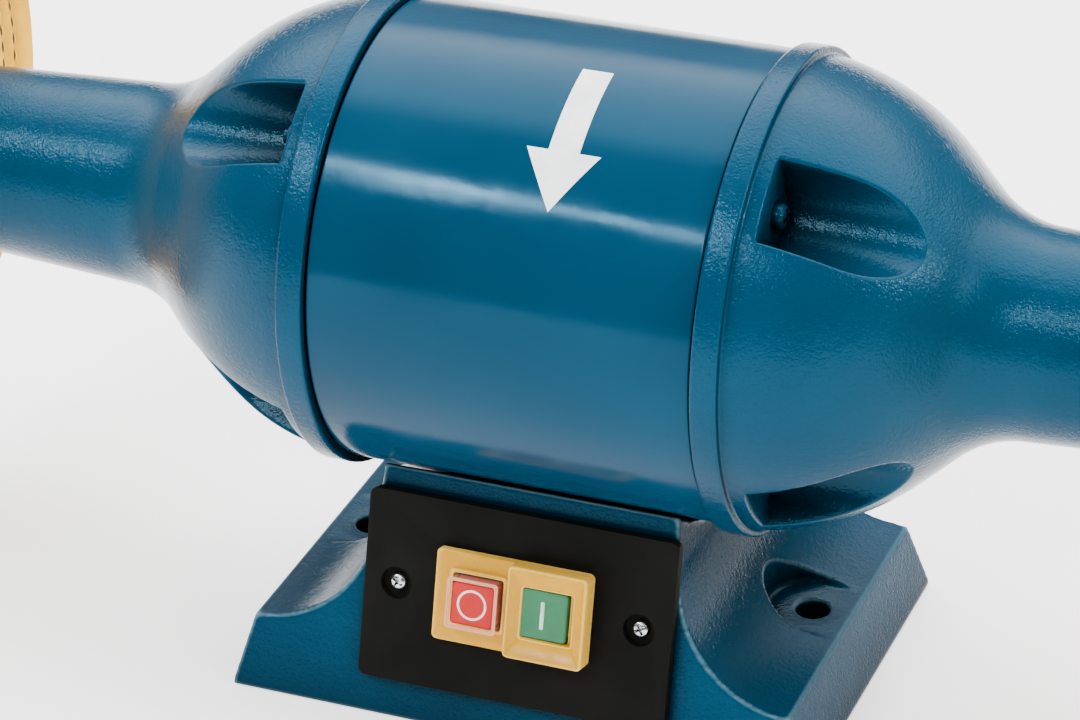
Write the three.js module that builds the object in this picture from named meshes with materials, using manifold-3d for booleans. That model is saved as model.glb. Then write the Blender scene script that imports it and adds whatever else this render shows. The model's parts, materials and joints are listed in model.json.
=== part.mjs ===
// Long-spindle bench grinder, set up with a cloth buffing wheel at each end.
//
// Units are millimetres and +Z is up. The spindle runs along X, the switch faces -Y, and the
// origin is the centre of the base's underside.

import * as THREE from 'three';
import Module from 'manifold-3d';
import { mergeVertices } from 'three/addons/utils/BufferGeometryUtils.js';

const wasm = await Module();
wasm.setup();

// ---------- driving dimensions ----------

const GAP = 0.3; // clearance between pieces that touch
const AXIS_HEIGHT = 141; // spindle axis above the bench

const SHELL_RADIUS = 75;
const SHELL_WALL = 2.5;
const SHELL_HALF = 61.9;

const BELL = {
  seam: 63.2, // inner face of the flange band
  bandEnd: 71.9,
  bandRadius: 77.5,
  shoulderRadius: 75,
  spigotStart: 57.6,
  crownRadius: 86,
  crownFrom: 8, // slope of the casting where it leaves the band, degrees
  slope: 43, // steepest slope of the casting, degrees
  slopeEnd: 129.5,
  neckRadius: 34,
  taper: 3.2, // slope of the arm, degrees
  armStart: 145,
  armEnd: 236,
  armEndRadius: 29,
};

const BEARING = { bore: 10, outer: 23.5, width: 14, start: 216.3, pitch: 16.85, ball: 3.5, count: 8 };

const TIE = { radius: 61, first: 50, shank: 2.5, head: 4.5, wall: 77, headHeight: 4 };
const POCKET = { centre: 65, radius: 13, growth: 0.055, length: 62, wall: 4, floor: 5 };

const STATOR = { half: 30, bore: 40.2, slots: 24, slotOuter: 56, slotShare: 0.45 };
const ROTOR = { half: 31, radius: 39.7, ringEnd: 41 };

const SPINDLE = { core: 12, journal: 10, nose: 8, shoulder: 240, end: 298 };
const WHEEL = { radius: 100, width: 20, inner: 246, bore: 8.4, flange: 28 };
const NUT = { across: 24, width: 13, hole: 8.3 };

const BASE = {
  half: 98, // half width at the bench
  padHalf: 91.3,
  padHeight: 25,
  flareRadius: 40,
  topHalf: 49.5,
  top: 84,
  halfDepth: 68.8,
  topHalfDepth: 46.9,
  wall: 6,
  saddleGap: 0.8,
  web: 7,
};
const FACE_ANGLE = Math.atan2(BASE.halfDepth - BASE.topHalfDepth, BASE.top); // lean of the front face

const BOLT = { x: 77.6, y: 2.5, hole: 5.5, recess: 15.8, boss: 21 };

const PLATE = { width: 104.4, height: 63.1, top: 9.7, thick: 4, corner: 2.5 };
const PLATE_SCREW = { x: 41.2, down: 40, recess: 5.25, recessDepth: 3, head: 2.75, shank: 1.6 };
const SWITCH = { x: -0.7, down: 39.7, width: 52.6, height: 30.4, flange: 2.7, collar: 4.5, pitch: 11.3 };
const SWITCH_BODY = { width: 46, height: 26, depth: 26, well: 17.6, wellDepth: 11 };
const STOP = { width: 16, height: 15.7, proud: 6, travel: 4 };
const START = { width: 16.6, height: 16.3, proud: 2, travel: 3 };

const BOTTOM = { halfX: 89, halfY: 60.5, low: 0.8, thick: 1.5, screwX: 78, screwY: 51, boss: 5 };
const GLAND = { x: 30, z: 26, boss: 13, bossIn: 50, bossOut: 66, thread: 8, bore: 4.5 };
const CAN = { radius: 15, x: -50, length: 55, y: 24, z: 19 };
const TERMINAL = { x: 30, y: 8, width: 30, depth: 16, height: 14 };
const SADDLE_BOLT = { x: 22, shank: 3, head: 5 };
const GROMMET = { x: 35.5, hole: 6.3, bore: 3.5 };

const radians = THREE.MathUtils.degToRad;

// ---------- materials ----------

const paint = (color, roughness, metalness = 0) =>
  new THREE.MeshStandardMaterial({ color, roughness, metalness });

const BLUE_CAST = paint(0x03507a, 0.34);
const BLUE_GLOSS = paint(0x02507c, 0.2);
const STEEL = paint(0x9a9c9e, 0.34, 1);
const ZINC = paint(0xb9bcbd, 0.38, 1);
const BLACK = paint(0x22221f, 0.6);
const YELLOW = paint(0xf1c446, 0.4);
const RED = paint(0xd25a50, 0.4);
const GREEN = paint(0x55966f, 0.4);
const COPPER = paint(0x8f4a22, 0.4, 0.8);
const IRON = paint(0x55565a, 0.5, 0.9);
const CLOTH = paint(0xfbd169, 0.95);
const GREY_CAN = paint(0xc9cbc9, 0.4);

// ---------- shapes ----------

// Signed volume of a triangle mesh; it is negative when the faces point inward.
function signedVolume(positions, index) {
  const [a, b, c] = [new THREE.Vector3(), new THREE.Vector3(), new THREE.Vector3()];
  let total = 0;
  for (let i = 0; i < index.length; i += 3) {
    a.fromArray(positions, index[i] * 3);
    b.fromArray(positions, index[i + 1] * 3);
    c.fromArray(positions, index[i + 2] * 3);
    total += a.dot(b.cross(c)) / 6;
  }
  return total;
}

// Turns a closed geometry into a solid: shared vertices merged, empty triangles dropped, faces out.
function solid(geometry) {
  const bare = geometry.clone();
  bare.deleteAttribute('normal');
  bare.deleteAttribute('uv');
  const merged = mergeVertices(bare, 1e-4);
  const positions = merged.attributes.position.array;
  const kept = [];
  const source = merged.index.array;
  for (let i = 0; i < source.length; i += 3) {
    const [a, b, c] = [source[i], source[i + 1], source[i + 2]];
    if (a !== b && b !== c && c !== a) kept.push(a, b, c);
  }
  if (signedVolume(positions, kept) < 0) kept.reverse();
  const mesh = new wasm.Mesh({
    numProp: 3,
    vertProperties: new Float32Array(positions),
    triVerts: new Uint32Array(kept),
  });
  return new wasm.Manifold(mesh);
}

function geometryOf(body) {
  const mesh = body.getMesh();
  const geometry = new THREE.BufferGeometry();
  geometry.setAttribute('position', new THREE.BufferAttribute(mesh.vertProperties, 3));
  geometry.setIndex(new THREE.BufferAttribute(mesh.triVerts, 1));
  geometry.computeVertexNormals();
  return geometry;
}

const cut = (body, ...tools) => tools.reduce((rest, tool) => rest.subtract(tool), body);
const join = (body, ...others) => others.reduce((sum, other) => sum.add(other), body);

// A solid of revolution about X from [x, radius] points; the outline is closed by this function.
function turned(outline, segments = 32) {
  const points = outline.map(([x, radius]) => new THREE.Vector2(radius, x));
  const onAxis = outline[0][1] === 0 && outline[outline.length - 1][1] === 0;
  if (!onAxis) points.push(points[0].clone());
  return solid(new THREE.LatheGeometry(points, segments).rotateZ(-Math.PI / 2));
}

// A plain ring about X.
const ring = (x0, x1, inner, outer, segments) =>
  turned([[x0, inner], [x0, outer], [x1, outer], [x1, inner]], segments);

// A cylinder about X.
const rod = (x0, x1, radius, segments) =>
  turned([[x0, 0], [x0, radius], [x1, radius], [x1, 0]], segments);

// Moves a solid made along +X so that its axis points along the given direction from a place.
function aimed(body, direction, place = [0, 0, 0]) {
  const turn = new THREE.Quaternion().setFromUnitVectors(
    new THREE.Vector3(1, 0, 0),
    new THREE.Vector3(...direction),
  );
  const matrix = new THREE.Matrix4().makeRotationFromQuaternion(turn).setPosition(...place);
  return body.transform(matrix.elements);
}

const UP = [0, 0, 1];
const BACK = [0, 1, 0];

const upright = (x, y, z0, z1, radius, segments = 24) =>
  aimed(rod(0, z1 - z0, radius, segments), UP, [x, y, z0]);

const box = (x0, x1, y0, y1, z0, z1) =>
  solid(new THREE.BoxGeometry(x1 - x0, y1 - y0, z1 - z0)
    .translate((x0 + x1) / 2, (y0 + y1) / 2, (z0 + z1) / 2));

// A rectangle with rounded corners, centred on (x, y).
function roundedRectangle(width, height, corner, x = 0, y = 0) {
  const [right, top] = [width / 2, height / 2];
  const shape = new THREE.Shape();
  shape.absarc(x + right - corner, y + top - corner, corner, 0, Math.PI / 2);
  shape.absarc(x - right + corner, y + top - corner, corner, Math.PI / 2, Math.PI);
  shape.absarc(x - right + corner, y - top + corner, corner, Math.PI, Math.PI * 1.5);
  shape.absarc(x + right - corner, y - top + corner, corner, Math.PI * 1.5, Math.PI * 2);
  shape.closePath();
  return shape;
}

// A plate of the given outline between two heights.
const slab = (shape, z0, z1, curveSegments = 3) =>
  solid(new THREE.ExtrudeGeometry(shape, { depth: z1 - z0, bevelEnabled: false, curveSegments })
    .translate(0, 0, z0));

const polygon = (points) => new THREE.Shape(points.map(([x, y]) => new THREE.Vector2(x, y)));

function hexagon(across) {
  const corner = across / Math.sqrt(3);
  const points = [];
  for (let i = 0; i < 6; i += 1) {
    const angle = (i * Math.PI) / 3;
    points.push([corner * Math.cos(angle), corner * Math.sin(angle)]);
  }
  return polygon(points);
}

// A hexagonal nut along X between two stations.
function hexNut(x0, x1, across, hole) {
  const matrix = new THREE.Matrix4().makeRotationY(Math.PI / 2).setPosition(x0, 0, 0);
  const body = slab(hexagon(across), 0, x1 - x0).transform(matrix.elements);
  return cut(body, rod(x0 - 1, x1 + 1, hole, 12));
}

const mirroredX = (body) => body.mirror([1, 0, 0]);

// Points on an arc whose outward normal leans by the given angles, in degrees, from straight out.
function arc(centre, radius, from, to, steps) {
  const points = [];
  for (let i = 0; i <= steps; i += 1) {
    const angle = radians(from + ((to - from) * i) / steps);
    points.push([centre[0] + radius * Math.sin(angle), centre[1] + radius * Math.cos(angle)]);
  }
  return points;
}

// ---------- assembly helpers ----------

const machine = new THREE.Group();
const spindleLine = new THREE.Group();
spindleLine.position.z = AXIS_HEIGHT;
machine.add(spindleLine);

// The leaning front face: X to the right, Y up the face, Z straight out of it.
const frontFace = new THREE.Group();
frontFace.position.set(0, -BASE.topHalfDepth, BASE.top);
frontFace.rotation.x = Math.PI / 2 - FACE_ANGLE;
frontFace.updateMatrix();
machine.add(frontFace);

function add(group, name, body, material) {
  const mesh = new THREE.Mesh(geometryOf(body), material);
  mesh.name = name;
  group.add(mesh);
}

const onFrontFace = (body) => body.transform(frontFace.matrix.elements);

// ---------- motor ----------

// Unit vector of a tie bolt: 0 degrees points to the front, 90 degrees straight up.
const tieAngle = (index) => radians(TIE.first + index * 90);

// A U-shaped channel beside a tie bolt, open outward, which widens as it runs along X.
function channel(index, start, radius, open, curveSegments) {
  const shape = new THREE.Shape();
  shape.moveTo(radius, open);
  shape.lineTo(-radius, open);
  shape.absarc(0, 0, radius, Math.PI, Math.PI * 2);
  shape.closePath();
  const geometry = new THREE.ExtrudeGeometry(shape, {
    depth: POCKET.length,
    bevelEnabled: false,
    curveSegments,
  });
  const positions = geometry.attributes.position;
  for (let i = 0; i < positions.count; i += 1) {
    const spread = 1 + (POCKET.growth * positions.getZ(i)) / radius;
    positions.setX(i, positions.getX(i) * spread);
    positions.setY(i, positions.getY(i) * spread);
  }
  const angle = tieAngle(index);
  const [sin, cos] = [Math.sin(angle), Math.cos(angle)];
  const matrix = new THREE.Matrix4().makeBasis(
    new THREE.Vector3(0, sin, cos),
    new THREE.Vector3(0, -cos, sin),
    new THREE.Vector3(1, 0, 0),
  );
  matrix.setPosition(start, -cos * POCKET.centre, sin * POCKET.centre);
  return solid(geometry.applyMatrix4(matrix));
}

// Moves a piece made on the X axis out to a tie bolt's place.
function atTie(body, index) {
  const angle = tieAngle(index);
  return body.translate([0, -Math.cos(angle) * TIE.radius, Math.sin(angle) * TIE.radius]);
}

// Outside of the end bell: flange band, domed crown, straight slope, hollow neck, tapered arm.
function bellOutside() {
  const lean = radians(BELL.crownFrom);
  const crownCentre = [
    BELL.bandEnd - BELL.crownRadius * Math.sin(lean),
    BELL.shoulderRadius - BELL.crownRadius * Math.cos(lean),
  ];
  const crown = arc(crownCentre, BELL.crownRadius, BELL.crownFrom, BELL.slope, 3);
  const [crownX, crownRadius] = crown[crown.length - 1];
  const steep = radians(BELL.slope);
  const neckStart = [BELL.slopeEnd, crownRadius - (BELL.slopeEnd - crownX) * Math.tan(steep)];
  const neckCentre = [
    neckStart[0] + BELL.neckRadius * Math.sin(steep),
    neckStart[1] + BELL.neckRadius * Math.cos(steep),
  ];
  const neck = arc(neckCentre, -BELL.neckRadius, BELL.slope, BELL.taper, 2);
  return [
    [BELL.seam, BELL.bandRadius],
    [BELL.bandEnd, BELL.bandRadius],
    ...crown,
    ...neck,
    [BELL.armEnd - 2, BELL.armEndRadius],
    [BELL.armEnd, BELL.armEndRadius - 2],
  ];
}

// Inside of the bell, from the outer end inward: cap recess, bearing seat, hollow arm, winding space.
const BELL_INSIDE = [
  [BELL.armEnd, 26.3],
  [231, 26.3],
  [231, BEARING.outer + GAP],
  [214, BEARING.outer + GAP],
  [214, 22],
  [160, 22],
  [131, 35],
  [104, 56],
  [86, 66],
  [BELL.spigotStart, 66],
];

// Bell and arm of one end, still in one: a hollow casting with four tie bolt pockets.
function endCasting() {
  const outside = bellOutside();
  const spigot = SHELL_RADIUS - SHELL_WALL - GAP;
  const body = turned([
    [BELL.spigotStart, spigot],
    [BELL.seam, spigot],
    ...outside,
    ...BELL_INSIDE,
  ], 24);
  const envelope = turned([[BELL.seam, 0], ...outside, [BELL.armEnd, 0]], 24);
  const ties = [0, 1, 2, 3];
  const linings = ties.map((index) =>
    channel(index, TIE.wall - POCKET.floor, POCKET.radius + POCKET.wall, 30, 3).intersect(envelope));
  const pockets = ties.map((index) => channel(index, TIE.wall, POCKET.radius, 30, 5));
  const holes = ties.map((index) => atTie(rod(60, 90, TIE.shank + GAP, 8), index));
  return cut(join(body, ...linings), ...pockets, ...holes);
}

// Everything beyond a station along the spindle.
const beyond = (x) => rod(x, BELL.armEnd + 1, BELL.bandRadius + 1, 24);

function motorShell() {
  const tube = ring(-SHELL_HALF, SHELL_HALF, SHELL_RADIUS - SHELL_WALL, SHELL_RADIUS, 40);
  const low = -SHELL_RADIUS - 2;
  const holes = [-SADDLE_BOLT.x, SADDLE_BOLT.x].map((x) =>
    upright(x, 0, low, low + 8, SADDLE_BOLT.shank + GAP, 16));
  return cut(tube, ...holes, upright(GROMMET.x, 0, low, low + 8, GROMMET.hole, 16));
}

// Laminated ring with its slots open to the bore.
function statorCore() {
  const outer = SHELL_RADIUS - SHELL_WALL - GAP;
  const shape = new THREE.Shape();
  shape.absarc(0, 0, outer, 0, Math.PI * 2);
  const bore = new THREE.Path();
  const pitch = (Math.PI * 2) / STATOR.slots;
  for (let i = 0; i < STATOR.slots; i += 1) {
    const [from, to] = [i * pitch, (i + STATOR.slotShare) * pitch];
    bore.lineTo(Math.cos(from) * STATOR.bore, Math.sin(from) * STATOR.bore);
    bore.lineTo(Math.cos(from) * STATOR.slotOuter, Math.sin(from) * STATOR.slotOuter);
    bore.lineTo(Math.cos(to) * STATOR.slotOuter, Math.sin(to) * STATOR.slotOuter);
    bore.lineTo(Math.cos(to) * STATOR.bore, Math.sin(to) * STATOR.bore);
  }
  bore.curves.shift();
  bore.closePath();
  shape.holes.push(bore);
  const matrix = new THREE.Matrix4().makeRotationY(Math.PI / 2);
  const stack = slab(shape, -STATOR.half, STATOR.half, 24).transform(matrix.elements);
  const holes = [0, 1, 2, 3].map((index) =>
    atTie(rod(-STATOR.half - 1, STATOR.half + 1, TIE.shank + GAP, 8), index));
  return cut(stack, ...holes);
}

// End turns of the stator winding, bulging out of one end of the core.
const endWinding = () => {
  const start = STATOR.half + 1;
  return turned([
    [start, 44], [start, 56], [start + 14, 58], [start + 20, 54], [start + 20, 48], [start + 14, 44.5],
  ], 20);
};

const tieBolt = () => turned([
  [-TIE.wall - 6, 0],
  [-TIE.wall - 6, TIE.shank],
  [TIE.wall + GAP, TIE.shank],
  [TIE.wall + GAP, TIE.head],
  [TIE.wall + TIE.headHeight - 1, TIE.head],
  [TIE.wall + TIE.headHeight, TIE.head - 1.5],
  [TIE.wall + TIE.headHeight, 0],
], 10);

// Grommet with a rim on each side of the saddle, which leads the motor wires down into the base.
function wireGrommet() {
  const low = BASE_SADDLE_FLOOR - BASE.web;
  const top = AXIS_HEIGHT - SHELL_RADIUS + SHELL_WALL;
  const outer = GROMMET.hole - GAP;
  const rim = outer + 1.8;
  const outline = [
    [low - 2.2, GROMMET.bore], [low - 2.2, rim], [low - GAP, rim], [low - GAP, outer],
    [top, outer], [top, GROMMET.bore],
  ];
  return aimed(turned(outline, 16), UP, [GROMMET.x, 0, 0]);
}

function buildMotor() {
  add(spindleLine, 'motor_shell', motorShell(), BLUE_GLOSS);
  add(spindleLine, 'stator_core', statorCore(), IRON);
  add(spindleLine, 'right_winding', endWinding(), COPPER);
  add(spindleLine, 'left_winding', mirroredX(endWinding()), COPPER);
  const casting = endCasting();
  const bell = cut(casting, beyond(BELL.armStart - GAP));
  const arm = casting.intersect(beyond(BELL.armStart));
  add(spindleLine, 'right_end_bell', bell, BLUE_CAST);
  add(spindleLine, 'left_end_bell', mirroredX(bell), BLUE_CAST);
  add(spindleLine, 'right_arm', arm, BLUE_CAST);
  add(spindleLine, 'left_arm', mirroredX(arm), BLUE_CAST);
  for (let index = 0; index < 4; index += 1) {
    const nut = hexNut(-TIE.wall - GAP - 4, -TIE.wall - GAP, 8, TIE.shank + GAP);
    add(spindleLine, `tie_bolt_${index + 1}`, atTie(tieBolt(), index), BLUE_CAST);
    add(spindleLine, `tie_nut_${index + 1}`, atTie(nut, index), BLUE_CAST);
  }
}

// ---------- bearings ----------

// Ring of balls held together by their cage.
function ballCage() {
  const middle = BEARING.start + BEARING.width / 2;
  let cage = ring(middle - 2.2, middle + 2.2, BEARING.pitch - 1.2, BEARING.pitch + 1.2, BEARING.count);
  for (let i = 0; i < BEARING.count; i += 1) {
    const angle = (i * Math.PI * 2) / BEARING.count;
    const ball = new THREE.SphereGeometry(BEARING.ball, 6, 4);
    ball.translate(middle, BEARING.pitch * Math.cos(angle), BEARING.pitch * Math.sin(angle));
    cage = cage.add(solid(ball));
  }
  return cage;
}

function buildBearings() {
  const [start, end] = [BEARING.start, BEARING.start + BEARING.width];
  const outerRace = ring(start, end, BEARING.pitch + BEARING.ball + GAP, BEARING.outer, 20);
  const innerRace = ring(start, end, BEARING.bore + GAP, BEARING.pitch - BEARING.ball - GAP, 16);
  const cap = turned([
    [231.3, 10.8], [231.3, 26], [BELL.armEnd - 0.5, 26], [BELL.armEnd, 25], [BELL.armEnd, 10.8],
  ], 24);
  for (const [side, place] of [['right', (body) => body], ['left', mirroredX]]) {
    add(spindleLine, `${side}_bearing_outer_race`, place(outerRace), STEEL);
    add(spindleLine, `${side}_bearing_inner_race`, place(innerRace), STEEL);
    add(spindleLine, `${side}_ball_cage`, place(ballCage()), STEEL);
    add(spindleLine, `${side}_bearing_cap`, place(cap), BLUE_CAST);
  }
  const washer = ring(-start + GAP, -214 - GAP, 17, BEARING.outer - 0.2, 20);
  add(spindleLine, 'preload_washer', washer, STEEL);
}

// ---------- spindle and wheels ----------

const spindleShaft = () => {
  const half = [
    [BEARING.start - 0.4, SPINDLE.core],
    [BEARING.start - 0.4, SPINDLE.journal],
    [SPINDLE.shoulder, SPINDLE.journal],
    [SPINDLE.shoulder, SPINDLE.nose],
    [SPINDLE.end - 1, SPINDLE.nose],
    [SPINDLE.end, SPINDLE.nose - 1],
  ];
  const otherHalf = half.map(([x, radius]) => [-x, radius]).reverse();
  return turned([[-SPINDLE.end, 0], ...otherHalf, ...half, [SPINDLE.end, 0]], 16);
};

// Cast aluminium end ring of the squirrel cage, with fan blades.
function rotorEndRing() {
  const start = ROTOR.half + GAP;
  let body = ring(start, start + 6, 20, 38, 20);
  for (let i = 0; i < 8; i += 1) {
    const blade = box(start + 5, ROTOR.ringEnd, -1.2, 1.2, 22, 36);
    const turn = new THREE.Matrix4().makeRotationX((i * Math.PI) / 4);
    body = body.add(blade.transform(turn.elements));
  }
  return body;
}

function buildSpindle() {
  add(spindleLine, 'spindle_shaft', spindleShaft(), STEEL);
  add(spindleLine, 'rotor_core', ring(-ROTOR.half, ROTOR.half, SPINDLE.core + GAP, ROTOR.radius, 32), IRON);
  const outside = WHEEL.inner + WHEEL.width;
  const innerFlange = turned([
    [SPINDLE.shoulder + GAP, NUT.hole],
    [SPINDLE.shoulder + GAP, 16],
    [WHEEL.inner - 3, WHEEL.flange],
    [WHEEL.inner - GAP, WHEEL.flange],
    [WHEEL.inner - GAP, NUT.hole],
  ], 24);
  const outerFlange = turned([
    [outside + GAP, NUT.hole],
    [outside + GAP, WHEEL.flange],
    [outside + 2.7, WHEEL.flange],
    [outside + 5, 17],
    [outside + 5, NUT.hole],
  ], 24);
  const wheel = turned([
    [WHEEL.inner, WHEEL.bore],
    [WHEEL.inner, 96],
    [WHEEL.inner + 3, WHEEL.radius],
    [outside - 3, WHEEL.radius],
    [outside, 96],
    [outside, WHEEL.bore],
  ], 40);
  const nutStart = outside + 5 + GAP;
  const nut = hexNut(nutStart, nutStart + NUT.width, NUT.across, NUT.hole);
  for (const [side, place] of [['right', (body) => body], ['left', mirroredX]]) {
    add(spindleLine, `${side}_rotor_end_ring`, place(rotorEndRing()), ZINC);
    add(spindleLine, `${side}_inner_flange`, place(innerFlange), ZINC);
    add(spindleLine, `${side}_outer_flange`, place(outerFlange), ZINC);
    add(spindleLine, `${side}_buffing_wheel`, place(wheel), CLOTH);
    add(spindleLine, `${side}_wheel_nut`, place(nut), ZINC);
  }
}

// ---------- base ----------

const BASE_SADDLE_RADIUS = SHELL_RADIUS + BASE.saddleGap;
const BASE_SADDLE_FLOOR = AXIS_HEIGHT - BASE_SADDLE_RADIUS;

// A hollow runs out through the underside; the block itself stops at the bench.
const undersideOf = (wall) => (wall > 0 ? -1 : 0);

// Front outline of the base, drawn inward by the wall for its hollow: pads, flares and pedestal.
function baseOutline(wall) {
  const flare = BASE.flareRadius + wall;
  const centreHeight = BASE.padHeight + BASE.flareRadius;
  const right = [
    [BASE.half - wall * 1.1, undersideOf(wall)],
    [BASE.padHalf - wall * 0.8, BASE.padHeight - wall],
  ];
  for (let i = 0; i <= 7; i += 1) {
    const angle = ((Math.PI / 2) * i) / 7;
    right.push([BASE.padHalf - flare * Math.sin(angle), centreHeight - flare * Math.cos(angle)]);
  }
  if (wall > 0) right.splice(2, 1);
  right.push([BASE.topHalf - wall, BASE.top]);
  return polygon([...right, ...right.map(([x, z]) => [-x, z]).reverse()]);
}

// The block between the leaning front and back faces, drawn inward by the wall.
function baseBlock(wall) {
  const depth = BASE.halfDepth * 2;
  const front = slab(baseOutline(wall), -depth, depth).transform(
    new THREE.Matrix4().makeRotationX(Math.PI / 2).elements,
  );
  const inset = wall / Math.cos(FACE_ANGLE);
  const side = polygon([
    [-BASE.halfDepth + inset, undersideOf(wall)],
    [BASE.halfDepth - inset, undersideOf(wall)],
    [BASE.topHalfDepth - inset, BASE.top],
    [-BASE.topHalfDepth + inset, BASE.top],
  ]);
  const alongX = new THREE.Matrix4().makeBasis(
    new THREE.Vector3(0, 1, 0),
    new THREE.Vector3(0, 0, 1),
    new THREE.Vector3(1, 0, 0),
  );
  return front.intersect(slab(side, -BASE.half, BASE.half).transform(alongX.elements));
}

const saddle = (radius) => rod(-BASE.half, BASE.half, radius, 40).translate([0, 0, AXIS_HEIGHT]);

// Space above a bolt pad: a round-ended slot that is cut down through the flare.
function boltRecess(side) {
  const x = side * BOLT.x;
  const far = side * (BASE.half + 2);
  const slot = box(Math.min(x, far), Math.max(x, far), BOLT.y - BOLT.recess, BOLT.y + BOLT.recess,
    BASE.padHeight, BASE.top);
  return upright(x, BOLT.y, BASE.padHeight, BASE.top, BOLT.recess, 20).add(slot);
}

const corners = (x, y) => [[-x, -y], [x, -y], [x, y], [-x, y]];

function baseCasting() {
  const bosses = [-BOLT.x, BOLT.x].map((x) => upright(x, BOLT.y, -1, BASE.top, BOLT.boss, 20));
  const screwPosts = corners(BOTTOM.screwX, BOTTOM.screwY).map(([x, y]) =>
    upright(x, y, BOTTOM.low + BOTTOM.thick + GAP, BASE.top, BOTTOM.boss, 12));
  const hollow = cut(baseBlock(BASE.wall), saddle(BASE_SADDLE_RADIUS + BASE.web), ...bosses, ...screwPosts);
  const glandBoss = aimed(rod(0, GLAND.bossOut - GLAND.bossIn, GLAND.boss, 20), BACK,
    [GLAND.x, GLAND.bossIn, GLAND.z]);
  const glandHole = aimed(rod(0, 40, GLAND.thread + GAP, 24), BACK, [GLAND.x, 40, GLAND.z]);
  const pilots = corners(BOTTOM.screwX, BOTTOM.screwY).map(([x, y]) => upright(x, y, 0, 14, 1.9, 12));
  const boltHoles = [-BOLT.x, BOLT.x].map((x) => upright(x, BOLT.y, -1, BASE.padHeight + 1, BOLT.hole));
  const saddleHoles = [-SADDLE_BOLT.x, SADDLE_BOLT.x].map((x) =>
    upright(x, 0, 40, BASE.top, SADDLE_BOLT.shank + GAP, 16));
  const window = onFrontFace(slab(
    roundedRectangle(SWITCH_BODY.width + 2, SWITCH_BODY.height + 2, 1, SWITCH.x, -SWITCH.down), -14, 3));
  const plateHoles = [-1, 1].map((side) => onFrontFace(
    upright(side * PLATE_SCREW.x, -PLATE_SCREW.down, -14, 3, PLATE_SCREW.shank + GAP, 12)));
  return cut(
    cut(baseBlock(0), hollow).add(glandBoss),
    saddle(BASE_SADDLE_RADIUS),
    boltRecess(-1),
    boltRecess(1),
    glandHole,
    window,
    upright(GROMMET.x, 0, 40, BASE.top, GROMMET.hole, 16),
    ...pilots,
    ...boltHoles,
    ...saddleHoles,
    ...plateHoles,
  );
}

// Sheet cover under the hollow, cut away round the two bolt bosses.
function bottomCover() {
  const sheet = box(-BOTTOM.halfX, BOTTOM.halfX, -BOTTOM.halfY, BOTTOM.halfY,
    BOTTOM.low, BOTTOM.low + BOTTOM.thick);
  const clears = [-BOLT.x, BOLT.x].flatMap((x) => [
    upright(x, BOLT.y, -1, 5, BOLT.boss + 0.6, 20),
    box(Math.min(x, Math.sign(x) * BASE.half), Math.max(x, Math.sign(x) * BASE.half),
      BOLT.y - BOLT.boss - 0.6, BOLT.y + BOLT.boss + 0.6, -1, 5),
  ]);
  const holes = corners(BOTTOM.screwX, BOTTOM.screwY).map(([x, y]) => upright(x, y, -1, 5, 2, 12));
  return cut(sheet, ...clears, ...holes);
}

const coverScrew = () => turned([
  [0.1, 0], [0.1, 2.6], [BOTTOM.low - GAP, 3.4], [BOTTOM.low - GAP, 1.6], [12, 1.6], [12, 0],
], 12);

// Screw up through the saddle into the motor shell.
function saddleBolt(x) {
  const seat = BASE_SADDLE_FLOOR - BASE.web - GAP;
  const tip = AXIS_HEIGHT - SHELL_RADIUS + SHELL_WALL;
  const body = turned([
    [seat - 5, 0], [seat - 5, SADDLE_BOLT.head], [seat, SADDLE_BOLT.head],
    [seat, SADDLE_BOLT.shank], [tip - GAP, SADDLE_BOLT.shank], [tip - GAP, 0],
  ], 16);
  return aimed(body, UP, [x, 0, 0]);
}

// Threaded gland with a hexagon shoulder and a domed compression cap, bored right through.
function cableGland() {
  const shoulder = GLAND.bossOut + GAP;
  const hexPart = slab(hexagon(22), 0, 6).transform(
    new THREE.Matrix4().makeRotationY(Math.PI / 2).setPosition(shoulder, 0, 0).elements);
  const body = turned([
    [GLAND.bossIn - 7, 0], [GLAND.bossIn - 7, GLAND.thread], [shoulder + 7, GLAND.thread],
    [shoulder + 7, 10], [shoulder + 14, 10], [shoulder + 19, 6.5], [shoulder + 19, 0],
  ], 20);
  const bore = rod(GLAND.bossIn - 8, shoulder + 20, GLAND.bore, 20);
  return aimed(cut(body.add(hexPart), bore), BACK, [GLAND.x, 0, GLAND.z]);
}

const glandNut = () =>
  aimed(hexNut(GLAND.bossIn - 4.3, GLAND.bossIn - GAP, 20, GLAND.thread + GAP), BACK,
    [GLAND.x, 0, GLAND.z]);

// Strap over the capacitor, with a foot each side on the bottom cover.
function capacitorStrap() {
  const floor = BOTTOM.low + BOTTOM.thick + GAP;
  const [inner, outer] = [CAN.radius + GAP, CAN.radius + 1.8];
  const shape = new THREE.Shape();
  shape.moveTo(outer + 8, floor - CAN.z);
  shape.lineTo(outer + 8, floor - CAN.z + 1.5);
  shape.lineTo(outer, floor - CAN.z + 1.5);
  shape.absarc(0, 0, outer, 0, Math.PI);
  shape.lineTo(-outer, floor - CAN.z + 1.5);
  shape.lineTo(-outer - 8, floor - CAN.z + 1.5);
  shape.lineTo(-outer - 8, floor - CAN.z);
  shape.lineTo(-inner, floor - CAN.z);
  shape.absarc(0, 0, inner, Math.PI, 0, true);
  shape.lineTo(inner, floor - CAN.z);
  shape.closePath();
  const alongX = new THREE.Matrix4().makeBasis(
    new THREE.Vector3(0, 1, 0),
    new THREE.Vector3(0, 0, 1),
    new THREE.Vector3(1, 0, 0),
  );
  alongX.setPosition(CAN.x + CAN.length / 2 - 6, CAN.y, CAN.z);
  return slab(shape, 0, 12, 12).transform(alongX.elements);
}

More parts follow.
